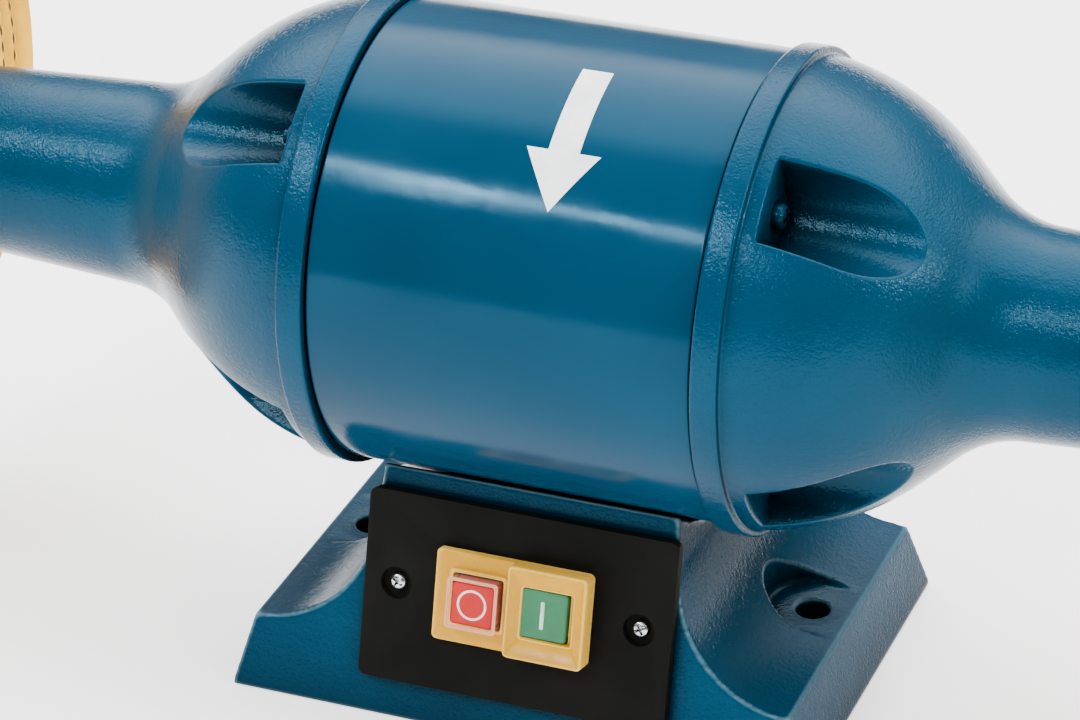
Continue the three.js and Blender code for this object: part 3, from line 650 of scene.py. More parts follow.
def notch_path(edge, half_width):
    """The pocket's section from one edge down round its floor to the other edge."""
    outward = edge[1]
    path = []
    start = 0.0
    if outward > POCKET_CENTRE:
        for i in range(8):
            drop = outward - (outward - POCKET_CENTRE) * i / 8
            path.append((half_width + (drop - POCKET_CENTRE) * POCKET_DRAFT, drop))
    else:
        start = math.asin(min((POCKET_CENTRE - outward) / half_width, 1))
    for i in range(33):
        angle = start + (math.pi - 2 * start) * i / 32
        path.append((half_width * math.cos(angle), POCKET_CENTRE - half_width * math.sin(angle)))
    if outward > POCKET_CENTRE:
        path += [(-a, o) for a, o in reversed(path[:8])]
    return path


def resampled(path, first, last, count):
    """Points at even distances along a path, from first to last share of its length."""
    lengths = [0.0]
    for a, b in zip(path, path[1:]):
        lengths.append(lengths[-1] + math.dist(a, b))
    made = []
    k = 0
    for i in range(count):
        want = lengths[-1] * (first + (last - first) * i / (count - 1))
        while k < len(path) - 2 and lengths[k + 1] < want:
            k += 1
        share = (want - lengths[k]) / max(lengths[k + 1] - lengths[k], 1e-9)
        made.append(tuple(p + (q - p) * share for p, q in zip(path[k], path[k + 1])))
    return made


def on_circle(radius, angle):
    """The (across, outward) point of a circle at an angle from the pocket's middle."""
    return radius * math.sin(angle), radius * math.cos(angle)


def quarter(radius, half_width, depth, rim):
    """One quarter of a bell's section, centred on a pocket, as (across, outward) points.

    depth is 0 where the pocket hasn't begun, and 1 at its full depth. rim is the edge's rounding.
    """
    edge = notch_edge(radius, half_width)
    narrow, rim_share = math.radians(2.2), 0.15
    if edge is None or edge[0] / radius < math.sin(narrow) * 0.2:
        edge_angle = narrow
        rim_angle = narrow * rim_share
        inside = [on_circle(radius, narrow * (1 - rim_share) * (1 - 2 * i / (FLOOR_STEPS - 1)))
                  for i in range(FLOOR_STEPS)]
        corner = on_circle(radius, edge_angle)
    else:
        edge_angle = math.atan2(*edge)
        path = notch_path(edge, half_width)
        length = sum(math.dist(a, b) for a, b in zip(path, path[1:]))
        reach = min(rim, 0.2 * length)
        rim_angle = reach / radius
        inside = resampled(path, reach / length, 1 - reach / length, FLOOR_STEPS)
        if depth < 1:
            inside = [(a, math.sqrt(radius ** 2 - a * a) * (1 - depth) + o * depth) for a, o in inside]
        corner = edge
    outer_angle = edge_angle + rim_angle
    right = [on_circle(radius, math.pi / 4 + (outer_angle - math.pi / 4) * i / (ARC_STEPS - 1))
             for i in range(ARC_STEPS)]
    lip = []
    for i in range(1, RIM_STEPS + 1):
        t = i / (RIM_STEPS + 1)
        points = zip(right[-1], corner, inside[0])
        lip.append(tuple((1 - t) ** 2 * a + 2 * t * (1 - t) * b + t * t * c for a, b, c in points))
    left = [(-a, o) for a, o in reversed(right[1:] + lip)]
    return right + lip + inside + left


def bell_row(x, radius, extra, depth, rim):
    """A full ring of the bell at one station, through its four quarters."""
    half_width = POCKET_RADIUS + extra + max(x - POCKET_WALL, 0) * POCKET_GROWTH
    section = quarter(radius, half_width, depth, rim)
    ring = []
    for angle in reversed(TIE_ANGLES):
        sin, cos = math.sin(angle), math.cos(angle)
        for across, outward in section:
            ring.append((x, across * sin - outward * cos, across * cos + outward * sin))
    return ring


def stations(start, end, count):
    """Evenly spaced values from start to end."""
    return [start + (end - start) * i / (count - 1) for i in range(count)]


def end_bell(name):
    """Cast bell and arm: banded rim, four bolt pockets, hollow inside, bored for the bearing."""
    spigot = SHELL_RADIUS - SHELL_WALL - 0.3
    rows = []
    band = soften([(SPIGOT_START, spigot), (SEAM, spigot), (SEAM, BAND_RADIUS), (BAND_END, BAND_RADIUS),
                   (BAND_END, SHOULDER), (BAND_END + 3, bell_radius(BAND_END + 3))],
                  [0, 0.3, 1.3, 1.8, 1.2, 0], 5, closed=False)
    rows += [bell_row(x, radius, 0, 0, 1.2) for x, radius in band]
    wall = ((75.6, 0.0), (76.3, 0.0), (76.65, 0.012), (76.9, 0.04), (77.05, 0.09), (77.15, 0.2),
            (77.2, 0.4), (77.25, 0.7), (77.3, 1.0))
    rows += [bell_row(x, bell_radius(x), 0, depth, 1.3) for x, depth in wall]
    nose = POCKET_WALL
    while notch_edge(bell_radius(nose), POCKET_RADIUS + (nose - POCKET_WALL) * POCKET_GROWTH):
        nose += 0.01
    for x in stations(78.2, nose - 5, 26) + [nose - d for d in (4, 3, 2.2, 1.5, 0.95, 0.5, 0.2, 0.04)]:
        rows.append(bell_row(x, bell_radius(x), 0, 1, 1.3))
    for x in stations(nose + 0.3, NECK_END[0] + 2, 24) + stations(NECK_END[0] + 6, ARM_END - 4, 14):
        rows.append(bell_row(x, bell_radius(x), 0, 1, 0.3))
    tip = soften([(ARM_END - 3, bell_radius(ARM_END - 3)), (ARM_END, ARM_TIP_RADIUS), (ARM_END, CAP_BORE),
                  (231, CAP_BORE), (231, BEARING_BORE), (214, BEARING_BORE), (214, ARM_BORE),
                  (160, ARM_BORE)],
                 [0, 1.8, 0.4, 0.2, 0.2, 0.2, 0.2, 0], 4, closed=False)
    rows += [bell_row(x, radius, 0, 1, 0.3) for x, radius in tip]
    for x in stations(152, 72.4, 26):
        inner = min(bell_radius(x) - 7.0, LINING_RADIUS)
        rows.append(bell_row(x, inner, LINING, 1, 0.3))
    rows.append(bell_row(72, LINING_RADIUS, LINING, 0, 0.3))
    rows.append(bell_row(SPIGOT_START, LINING_RADIUS, LINING, 0, 0.3))
    return loft(name, rows, loop_rows=True)


def build_bells():
    for side_name, side in SIDES:
        piece = on_spindle(mirrored(end_bell(f"{side_name}_bell_casting"), side))
        finish_piece(smooth(piece, 50), CAST_PAINT, "stand", "cast_paint",
                     f"{side_name}_end_bell", f"{side_name}_arm")


# ---------- motor shell ----------


def build_shell():
    inner = SHELL_RADIUS - SHELL_WALL
    half = SHELL_HALF + 0.5
    tube = turned("motor_shell_tube", [
        (-half, inner), (-half, SHELL_RADIUS), (half, SHELL_RADIUS), (half, inner),
    ], [0.2, 0.7, 0.7, 0.2], 256, steps=4)
    finish_piece(on_spindle(smooth(tube, 50)), SHELL_PAINT, "stand", "shell_paint", "motor_shell")


ARROW_X, ARROW_HALF, ARROW_HEAD = 12.0, 5.0, 12.0
ARROW_START, ARROW_NECK, ARROW_TIP = 78.0, 53.0, 38.0  # degrees up from the front


def build_rotation_arrow():
    """Plain white arrow wrapped on the shell, which shows the way the wheels turn."""
    outline = [(ARROW_START, ARROW_HALF)]
    outline += [(angle, ARROW_HALF) for angle in stations(ARROW_START - 1, ARROW_NECK, 26)]
    outline += [(angle, ARROW_HEAD * (angle - ARROW_TIP) / (ARROW_NECK - ARROW_TIP))
                for angle in stations(ARROW_NECK - 0.01, ARROW_TIP + 0.05, 16)]
    rows = []
    for degrees, half in outline:
        angle = math.radians(degrees)
        ring = ((0.03, -half), (0.03, half), (0.11, half), (0.11, -half))
        rows.append([(ARROW_X + across, -(SHELL_RADIUS + rise) * math.cos(angle),
                      (SHELL_RADIUS + rise) * math.sin(angle)) for rise, across in ring])
    arrow = on_spindle(loft("rotation_arrow", rows))
    finish_piece(smooth(arrow, 40), DECAL, "stand", "shell_paint")


# ---------- base casting ----------

PAD_HALF = 91.3
PAD_HEIGHT = 25.0
FLARE_RADIUS = 40.0
PEDESTAL_HALF = 49.5
PEDESTAL_TOP = 84.0
TOP_HALF_DEPTH = 46.9
FACE_ANGLE = math.atan2(BASE_HALF_DEPTH - TOP_HALF_DEPTH, PEDESTAL_TOP)
BASE_WALL = 6.0
BOLT_X, BOLT_Y = 77.6, 2.5
BOLT_HOLE = 5.5
SPOT_RADIUS = 9.6
BOSS_RADIUS = 21
RECESS_RADIUS = 15.8
SADDLE_RADIUS = SHELL_RADIUS + 0.8
SADDLE_WALL = 7
GLAND_BOSS_RADIUS, GLAND_HOLE_RADIUS = 13, 8.3


def base_outline(wall, low):
    """Front outline of the base, drawn in by the wall thickness."""
    flare = FLARE_RADIUS + wall
    centre = PAD_HEIGHT + FLARE_RADIUS
    right = [(BASE_HALF - wall * 1.1, low), (PAD_HALF - wall * 0.8, PAD_HEIGHT - wall)]
    steps = 40
    for i in range(1 if wall else 0, steps + 1):
        angle = math.pi / 2 * i / steps
        right.append((PAD_HALF - flare * math.sin(angle), centre - flare * math.cos(angle)))
    right.append((PEDESTAL_HALF - wall, PEDESTAL_TOP + (2 if wall else 0)))
    if not wall:
        right.pop(1)
    return right + [(-x, z) for x, z in reversed(right)]


def base_block(name, wall, low):
    """The base's outer form, drawn in by the wall thickness, from the low level up."""
    depth = BASE_HALF_DEPTH * 1.2
    block = prism(name, base_outline(wall, low), -depth, depth, "y")
    inset = wall / math.cos(FACE_ANGLE)
    top = PEDESTAL_TOP + (3 if wall else 0)
    side = prism("side_faces", [
        (-BASE_HALF_DEPTH + inset, low), (BASE_HALF_DEPTH - inset, low),
        (TOP_HALF_DEPTH - inset, top), (-TOP_HALF_DEPTH + inset, top),
    ], -BASE_HALF * 1.2, BASE_HALF * 1.2, "x")
    return combine(block, side, "INTERSECT")


def saddle(radius):
    """The bar about the spindle that hollows the pedestal's top for the shell."""
    return cylinder("saddle", radius, -BASE_HALF * 1.2, BASE_HALF * 1.2, (0, AXIS_HEIGHT), "x", 256)


def recess(side):
    """Round-ended slot above a bolt pad, cut down through the flare."""
    outline = []
    for i in range(25):
        angle = math.pi / 2 + math.pi * i / 24
        outline.append((side * (BOLT_X + RECESS_RADIUS * math.cos(angle)),
                        BOLT_Y + RECESS_RADIUS * math.sin(angle)))
    far = side * BASE_HALF * 1.1
    outline += [(far, BOLT_Y - RECESS_RADIUS), (far, BOLT_Y + RECESS_RADIUS)]
    return prism("recess", outline, PAD_HEIGHT, PEDESTAL_TOP + 5)


FRONT_FACE = (Matrix.Translation((0, -TOP_HALF_DEPTH * MM, PEDESTAL_TOP * MM))
              @ Matrix.Rotation(math.pi / 2 - FACE_ANGLE, 4, "X"))


def build_base():
    gland_low, gland_high = box_mm("cable_gland")
    gland_x = (gland_low.x + gland_high.x) / 2
    gland_z = (gland_low.z + gland_high.z) / 2
    hollow = base_block("hollow", BASE_WALL, -2)
    cut(hollow, saddle(SADDLE_RADIUS + SADDLE_WALL))
    for side in (1, -1):
        cut(hollow, cylinder("boss", BOSS_RADIUS, -4, PEDESTAL_TOP + 5, (side * BOLT_X, BOLT_Y)))
    casting = base_block("base_casting_shell", 0, 0)
    cut(casting, hollow)
    combine(casting, cylinder("gland_boss", GLAND_BOSS_RADIUS, 50, 66, (gland_x, gland_z), "y"), "UNION")
    cut(casting, saddle(SADDLE_RADIUS), recess(1), recess(-1))
    cut(casting, cylinder("gland_hole", GLAND_HOLE_RADIUS, 40, 80, (gland_x, gland_z), "y"))
    for side in (1, -1):
        bolt = (side * BOLT_X, BOLT_Y)
        cut(casting, cylinder("bolt_hole", BOLT_HOLE, -2, PAD_HEIGHT + 2, bolt))
        cut(casting, cylinder("spot_face", SPOT_RADIUS, PAD_HEIGHT - 0.2, PAD_HEIGHT + 2, bolt))
    window = prism("window", rounded_rectangle(48, 28, 1, x=SWITCH_X, y=-SWITCH_DOWN), -14, 3)
    cut(casting, placed(window, FRONT_FACE))
    modified(casting, "REMESH", mode="VOXEL", voxel_size=0.9 * MM)
    modified(casting, "SMOOTH", factor=0.5, iterations=4)
    smooth(casting, 180)
    finish_piece(casting, BASE_PAINT, "stand", "cast_paint", "base_casting")


# ---------- switch panel ----------

PLATE_WIDTH, PLATE_HEIGHT, PLATE_TOP = 104.4, 63.1, 9.7
PLATE_BACK, PLATE_FRONT = 0.3, 4.3
PLATE_SCREW_X, PLATE_SCREW_DOWN = 41.2, 40.0
SWITCH_X, SWITCH_DOWN = -0.7, 39.7
BEZEL_WIDTH, BEZEL_HEIGHT = 52.6, 30.4
BEZEL_LOW, BEZEL_HIGH, COLLAR_HIGH = 4.6, 7.3, 11.8
BUTTON_PITCH = 11.3
KEY_ROUND = 0.7

UNIT = FRONT_FACE @ Matrix.Translation((SWITCH_X * MM, -SWITCH_DOWN * MM, 0))


def build_plate():
    middle = -PLATE_TOP - PLATE_HEIGHT / 2
    plate = prism("switch_cover_plate", rounded_rectangle(PLATE_WIDTH, PLATE_HEIGHT, 2.5, y=middle),
                  PLATE_BACK, PLATE_FRONT)
    cut(plate, prism("window", rounded_rectangle(46.6, 26.6, 0.8, x=SWITCH_X, y=-SWITCH_DOWN), -5, 9))
    for side in (1, -1):
        centre = (side * PLATE_SCREW_X, -PLATE_SCREW_DOWN)
        cut(plate, cylinder("recess", 5.25, 1.3, 9, centre))
        cut(plate, cylinder("hole", 1.9, -5, 9, centre, segments=32))
    modified(plate, "BEVEL", width=0.5 * MM, segments=3, limit_method="ANGLE", angle_limit=math.radians(30))
    smooth(plate, 35)
    finish_piece(placed(plate, FRONT_FACE), BLACK_PLATE, "stand", "black_plastic", "switch_plate")


def frame_ring(name, outer, hole, levels, x, corners, ridge=0.9):
    """A rectangular surround: rounded outer edge, narrow ridge, dish that slopes down to its hole.

    levels are the heights of its back, its ridge and the hole's edge.
    """
    (width, height), (hole_width, hole_height) = outer, hole
    low, high, mouth = levels
    outer_corner, hole_corner = corners
    inner = max(hole_corner, outer_corner - ridge)
    layers = inset_layers(width, height, (
        (0, outer_corner, low), (0, outer_corner, high - 0.7), (0.2, outer_corner, high - 0.35),
        (0.6, outer_corner, high - 0.07), (1.1, outer_corner, high),
        (2 * ridge, inner, high - 0.05), (2 * ridge + 0.5, inner, high - 0.35),
    )) + inset_layers(hole_width, hole_height, (
        (-1.6, hole_corner + 0.3, mouth + 0.05), (-1.0, hole_corner + 0.2, mouth + 0.22),
        (-0.4, hole_corner + 0.1, mouth + 0.16), (0, hole_corner, mouth - 0.3), (0, hole_corner, low),
    ))
    return stacked(name, layers, x=x, hollow=True)


def build_bezel():
    """Switch surround: flat flange round the stop key, raised and dished collar round the start key."""
    half = BEZEL_WIDTH / 2
    layers = inset_layers(BEZEL_WIDTH, BEZEL_HEIGHT, (
        (0, 1.7, BEZEL_LOW), (0, 1.7, BEZEL_HIGH - 0.7), (0.25, 1.7, BEZEL_HIGH - 0.3),
        (0.8, 1.6, BEZEL_HIGH - 0.04), (1.6, 1.4, BEZEL_HIGH),
    ))
    flange = stacked("switch_surround", layers)
    for x, width, height in ((-BUTTON_PITCH, 16.8, 16.5), (BUTTON_PITCH, 17.2, 16.9)):
        cut(flange, prism("key_hole", rounded_rectangle(width, height, 0.9, x=x), 0, 20))
    collar = frame_ring("collar", (half + 0.4, BEZEL_HEIGHT), (17.1, 16.8), (BEZEL_LOW, COLLAR_HIGH, 9.7),
                        half / 2 - 0.2, (1.7, 0.9))
    combine(flange, collar, "UNION")
    lip = frame_ring("lip", (19.6, 19.3), (16.9, 16.6), (BEZEL_LOW, BEZEL_HIGH + 0.9, BEZEL_HIGH + 0.7),
                     -BUTTON_PITCH, (1.5, 0.9), 0.6)
    combine(flange, lip, "UNION")
    smooth(flange, 40)
    finish_piece(placed(flange, UNIT), YELLOW, "stand", "yellow_plastic", "switch_bezel")


def key_cap(name, width, height, low, high, x):
    """A push button: straight sides, rounded shoulders and a flat face."""
    steps = [(0, 1.0, low), (0, 1.0, high - KEY_ROUND)]
    for i in range(1, 5):
        angle = math.pi / 2 * i / 4
        steps.append((2 * KEY_ROUND * (1 - math.cos(angle)), 1.0, high - KEY_ROUND * (1 - math.sin(angle))))
    layers = inset_layers(width, height, steps)
    for share in (0.86, 0.6, 0.3, 0.05):
        layers.append((width * share, height * share, max(0.02, share), high))
    return stacked(name, layers, 5, x)


def build_buttons():
    stop = key_cap("stop_button_cap", 14.4, 14.1, -6, 12.4, -BUTTON_PITCH)
    finish_piece(placed(smooth(stop, 40), UNIT), RED, "stop_key", "red_plastic", "stop_button")
    cover = key_cap("stop_button_cover", 16.0, 15.7, 1.0, 13.3, -BUTTON_PITCH)
    finish_piece(placed(smooth(cover, 40), UNIT), CLEAR, "stop_key", "red_plastic")
    rim = frame_ring("stop_cover_rim", (16.06, 15.76), (15.6, 15.3), (12.95, 13.2, 13.1),
                     -BUTTON_PITCH, (1.0, 0.8), 0.12)
    finish_piece(placed(smooth(rim, 40), UNIT), CREAM, "stop_key", "red_plastic")
    ring = turned("stop_symbol", [(12.46, 4.25), (12.54, 4.25), (12.54, 5.0), (12.46, 5.0)], 0.02, 64)
    placed(ring, Matrix.Translation((-BUTTON_PITCH * MM, 0, 0)) @ Matrix.Rotation(-math.pi / 2, 4, "Y"))
    finish_piece(placed(ring, UNIT), SYMBOL, "stop_key", "red_plastic")
    start = key_cap("start_button_cap", 16.4, 16.1, -7, 9.3, BUTTON_PITCH)
    finish_piece(placed(smooth(start, 40), UNIT), GREEN, "start_key", "green_plastic", "start_button")
    bar = prism("start_symbol", rounded_rectangle(1.3, 9.2, 0.5, x=BUTTON_PITCH), 9.3, 9.38)
    finish_piece(placed(bar, UNIT), PALE_SYMBOL, "start_key", "green_plastic")


# ---------- screws and bolts ----------


def cross_screw(name, head, height, shank, length, tip_x=0.0):
    """Pan-head cross-recess screw along +X: its head's seat is at tip_x, its shank runs back from it."""
    dome = [(tip_x - length, 0), (tip_x - length, shank), (tip_x, shank), (tip_x, head)]
    for i in range(5):
        angle = math.pi / 2 * i / 5
        rise, out = 0.35 + 0.65 * math.sin(angle), 0.35 + 0.65 * math.cos(angle)
        dome.append((tip_x + height * rise, head * out))
    dome.append((tip_x + height, head * 0.2))
    dome.append((tip_x + height, 0))
    screw = turned(name, dome, 0.12, 40)
    reach, width, deep = head * 0.68, head * 0.34, height * 1.3
    for turn in (0, math.pi / 2):
        outline = [(-reach, -width / 2), (reach, -width / 2), (reach, width / 2), (-reach, width / 2)]
        blade = prism("blade", outline, tip_x + height - deep, tip_x + height + 2, "x")
        cut(screw, placed(blade, Matrix.Rotation(turn, 4, "X")))
    return smooth(screw, 40)


def build_plate_screws():
    for side_name, side in SIDES:
        screw = cross_screw(f"{side_name}_panel_screw", 2.75, 1.9, 1.6, 10.5, 1.6)
        turn = Matrix.Rotation(0.5 * side, 4, "Z") @ Matrix.Rotation(-math.pi / 2, 4, "Y")
        placed(screw, Matrix.Translation((side * PLATE_SCREW_X * MM, -PLATE_SCREW_DOWN * MM, 0)) @ turn)
        finish_piece(placed(screw, FRONT_FACE), CHROME, "stand", "zinc_plate", f"{side_name}_plate_screw")


def hex_turned(name, outline, across, segments=96):
    """A nut or hexagon head about X, with chamfered corners; outline gives its ends and bore."""
    def hexed(x, angle, radius):
        if radius < across * 0.35:
            return 0.0
        flat = across / 2 / math.cos((angle + math.pi / 6) % (math.pi / 3) - math.pi / 6)
        return min(flat, radius) - radius
    return smooth(turned(name, outline, 0.3, segments, twist=hexed), 30)


def build_tie_bolts():
    for i, angle in enumerate(TIE_ANGLES):
        place = Vector((0, -math.cos(angle), math.sin(angle))) * TIE_RADIUS * MM
        seat = POCKET_WALL + 0.3
        bolt = cross_screw(f"tie_bolt_painted_{i + 1}", 4.4, 3.7, 2.5, seat + POCKET_WALL + 6, seat)
        placed(bolt, Matrix.Translation(place) @ Matrix.Rotation(i * 0.7, 4, "X"))
        finish_piece(on_spindle(bolt), CAST_PAINT, "stand", "cast_paint", f"tie_bolt_{i + 1}")
        low, high = -seat - 4, -seat
        corner = 8 / math.sqrt(3)
        nut = hex_turned(f"tie_nut_painted_{i + 1}", [
            (low, 2.8), (low, 4.0), (low + 0.6, corner), (high - 0.1, corner), (high, 4.2), (high, 2.8)], 8)
        placed(nut, Matrix.Translation(place))
        finish_piece(on_spindle(nut), CAST_PAINT, "stand", "cast_paint", f"tie_nut_{i + 1}")


def build_cover_screws():
    for i in range(1, 5):
        low, high = box_mm(f"bottom_cover_screw_{i}")
        centre = (low + high) / 2
        screw = cross_screw(f"cover_screw_{i}", 3.3, 0.4, 1.6, 11.2, -0.5)
        aimed(screw, (0, 0, -1), (centre.x, centre.y, 0))
        finish_piece(screw, ZINC, "stand", "zinc_plate", f"bottom_cover_screw_{i}")


# ---------- spindle, flanges and wheels ----------

WHEEL_INNER = wheel_low.x
WHEEL_OUTER = wheel_high.x
NOSE = 8.0
THREAD_START, THREAD_PITCH, THREAD_STEP = 268, 2.0, 0.2


def threaded(x, angle, radius, hand):
    """Change of radius of a triangular thread on the spindle's nose."""
    along = abs(x)
    if along < WHEEL_OUTER + 4 or along > SPINDLE_END - 1.6 or radius < 6:
        return 0.0
    phase = (along / THREAD_PITCH - hand * angle / (2 * math.pi)) % 1.0
    return -1.1 * abs(2 * phase - 1)


def build_spindle():
    half = [(215.9, 12), (215.9, 10), (240, 10), (240, NOSE)]
    steps = int((SPINDLE_END - 1 - THREAD_START) / THREAD_STEP)
    half += [(THREAD_START + THREAD_STEP * i, NOSE) for i in range(steps)]
    half += [(SPINDLE_END - 1.6, NOSE - 0.4), (SPINDLE_END, NOSE - 1.6)]
    outline = [(-SPINDLE_END, 0)] + [(-x, r) for x, r in reversed(half)] + half + [(SPINDLE_END, 0)]
    shaft = turned("spindle_bar", outline, 0, 48, twist=lambda x, a, r: threaded(x, a, r, 1 if x > 0 else -1))
    finish_piece(on_spindle(smooth(shaft, 60)), STEEL, "spindle", "bearing_steel", "spindle_shaft")


def build_flanges():
    for side_name, side in SIDES:
        inner = turned(f"{side_name}_inner_clamp", [
            (240.3, 8.3), (240.3, 16), (242.2, 17), (243.4, 27.4),
            (245.7, 28), (245.7, 22), (245.2, 21), (245.2, 8.3),
        ], [0.3, 0.6, 0.8, 0.6, 0.3, 0.3, 0.3, 0.2], 128)
        outer = turned(f"{side_name}_outer_clamp", [
            (266.3, 8.3), (266.8, 21), (266.3, 22), (266.3, 28),
            (268.7, 27.6), (270, 17), (271, 15.5), (271, 8.3),
        ], [0.2, 0.3, 0.3, 0.5, 0.9, 0.8, 0.4, 0.3], 128)
        low, high = 271.3, 284.3
        corner = 24 / math.sqrt(3)
        nut = hex_turned(f"{side_name}_spindle_nut", [
            (low, 8.3), (low, 12.0), (low + 1.0, corner),
            (high - 1.2, corner), (high, 11.6), (high, 9.2), (high - 0.9, 8.3),
        ], 24, 144)
        for piece, node in ((smooth(inner, 40), "inner_flange"), (smooth(outer, 40), "outer_flange"),
                            (nut, "wheel_nut")):
            finish_piece(on_spindle(mirrored(piece, side)), ZINC, "spindle", "zinc_plate",
                         f"{side_name}_{node}")


PLIES = 14
STITCH_ROWS = (38, 46, 54, 62, 70, 78, 86)


def buffing_wheel(name, seed):
    """Stack of cloth plies: each rim wanders a little, and stitched rows pull the faces in."""
    draw = random.Random(seed)
    width = WHEEL_OUTER - WHEEL_INNER
    segments = 240
    phases = [[draw.uniform(0, 2 * math.pi) for _ in range(5)] for _ in range(PLIES)]

    def wander(ply, angle):
        waves = sum(math.sin(angle * n + p) / n ** 0.5 for n, p in zip((3, 7, 16, 31, 53), phases[ply]))
        return 0.34 * waves

    def face_dip(radius):
        near = min(abs(radius - row) for row in STITCH_ROWS)
        return 0.95 * math.exp(-(near / 1.7) ** 2)

    radii = [8.6, 20, 28, 30] + [31 + i * 1.5 for i in range(44)] + [97.5]
    face = [(face_dip(radius) if radius > 30 else 0.0, radius) for radius in radii]
    made = [[(WHEEL_INNER + inset, radius)] * segments for inset, radius in face]
    for ply in range(PLIES):
        start = WHEEL_INNER + width * ply / PLIES
        pitch = width / PLIES
        for share, drop in ((0.04, 1.5), (0.2, 0.35), (0.5, 0.0), (0.8, 0.35), (0.96, 1.5)):
            ring = []
            for j in range(segments):
                angle = 2 * math.pi * j / segments
                bulge = wander(ply, angle)
                ring.append((start + pitch * share, WHEEL_RADIUS - 0.9 - drop + bulge))
            made.append(ring)
    made += [[(WHEEL_OUTER - inset, radius)] * segments for inset, radius in reversed(face)]
    rings = []
    for ring in made:
        rings.append([(x, r * math.cos(2 * math.pi * j / segments), r * math.sin(2 * math.pi * j / segments))
                      for j, (x, r) in enumerate(ring)])
    return loft(name, rings, loop_rows=True)


def stitches(name):
    """Short thread loops that lie in the stitched rows on both faces of a wheel."""
    points, faces = [], []
    for face_x, out in ((WHEEL_INNER, -1), (WHEEL_OUTER, 1)):
        for row in STITCH_ROWS:
            count = int(2 * math.pi * row / 6.5)
            for k in range(count):
                middle = 2 * math.pi * k / count
                half = 2.1 / row
                start = len(points)
                for i in range(5):
                    angle = middle - half + 2 * half * i / 4
                    rise = 0.42 * math.sin(math.pi * i / 4) + 0.05
                    thick = 0.42 * (0.55 + 0.45 * math.sin(math.pi * i / 4))
                    for m in range(6):
                        around = 2 * math.pi * m / 6
                        radius = row + thick * math.cos(around)
                        x = face_x - out * 0.85 + out * (rise + thick * math.sin(around))
                        points.append((x, radius * math.cos(angle), radius * math.sin(angle)))
                for i in range(4):
                    for m in range(6):
                        a, b = start + i * 6 + m, start + i * 6 + (m + 1) % 6
                        faces.append((a, b, b + 6, a + 6))
                faces.append(tuple(start + m for m in range(6)))
                faces.append(tuple(start + 24 + m for m in range(6)))
    return as_object(name, points, faces)


def build_wheels():
    for seed, (side_name, side) in enumerate(SIDES):
        wheel = mirrored(buffing_wheel(f"{side_name}_cloth_wheel", 11 + seed), side)
        finish_piece(on_spindle(smooth(wheel, 60)), CLOTH, "spindle", "yellow_cloth",
                     f"{side_name}_buffing_wheel")
        thread = mirrored(stitches(f"{side_name}_wheel_stitching"), side)
        finish_piece(on_spindle(thread), THREAD, "spindle", "yellow_cloth")


def build_caps():
    for side_name, side in SIDES:
        cap = turned(f"{side_name}_bearing_cover", [
            (231.3, 10.8), (231.3, 26), (235.6, 26), (235.6, 20),
            (234.4, 18.5), (234.4, 14), (235.9, 13), (235.9, 10.8),
        ], [0.2, 0.2, 0.8, 0.5, 0.5, 0.5, 0.5, 0.3], 128)
        finish_piece(on_spindle(mirrored(smooth(cap, 40), side)), CAST_PAINT, "stand", "cast_paint",
                     f"{side_name}_bearing_cap")


# ---------- cable gland ----------


def build_gland():
    low, high = box_mm("cable_gland")
    middle = (low + high) / 2
    start = 66.3
    corner = 22 / math.sqrt(3)
    body = turned("gland_thread", [(low.y, 4.5), (low.y, 8), (start + 1, 8), (start + 1, 4.5)], 0.5, 64)
    collar = hex_turned("gland_collar", [
        (start, 5), (start, 10.2), (start + 0.8, corner),
        (start + 5.2, corner), (start + 6, 10.4), (start + 6, 5)], 22)

    def ribbed(x, angle, radius):
        return -0.35 * (0.5 + 0.5 * math.cos(angle * 20)) if radius > 8 else 0.0

    dome = turned("gland_dome", [
        (start + 6.2, 5), (start + 6.2, 10), (start + 13.5, 10), (start + 17, 8.2),
        (high.y, 6.3), (high.y, 4.6), (start + 15, 4.6),
    ], [0.2, 0.6, 1.5, 1.5, 0.5, 0.4, 0.2], 160, twist=ribbed)
    gland = join("gland_assembly", [body, collar, dome])
    aimed(gland, (0, 1, 0), (middle.x, 0, middle.z))
    finish_piece(smooth(gland, 35), BLACK_PLASTIC, "stand", "black_plastic", "cable_gland")


# ---------- pieces kept from the CAD frame ----------

KEPT = {
    IRON: ("stator_core", "rotor_core"),
    COPPER: ("right_winding", "left_winding"),
    ALUMINIUM: ("right_rotor_end_ring", "left_rotor_end_ring"),
    STEEL: ("right_bearing_outer_race", "left_bearing_outer_race", "right_bearing_inner_race",
            "left_bearing_inner_race", "preload_washer"),
    CHROME: ("right_ball_cage", "left_ball_cage"),
    ZINC: ("bottom_cover", "left_saddle_bolt", "right_saddle_bolt", "capacitor_strap"),
    BLACK_RUBBER: ("wire_grommet",),
    BLACK_PLASTIC: ("gland_nut", "terminal_block", "switch_body"),
    CAN: ("run_capacitor",),
}


def dress_kept_nodes():
    """Gives the inner pieces, which keep their CAD shape, a detailed material."""
    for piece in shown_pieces():
        for material, nodes in KEPT.items():
            if piece.get("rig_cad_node") in nodes:
                piece.data.materials.clear()
                piece.data.materials.append(material)


# ---------- camera, floor and lights ----------

CAMERA_FROM_SPINDLE = (0.4481, -1.1489, 0.6468)
CAMERA_AZIMUTH, CAMERA_ELEVATION, CAMERA_ROLL = 21.96, 29.02, -0.98
CAMERA_LENS = 146.6


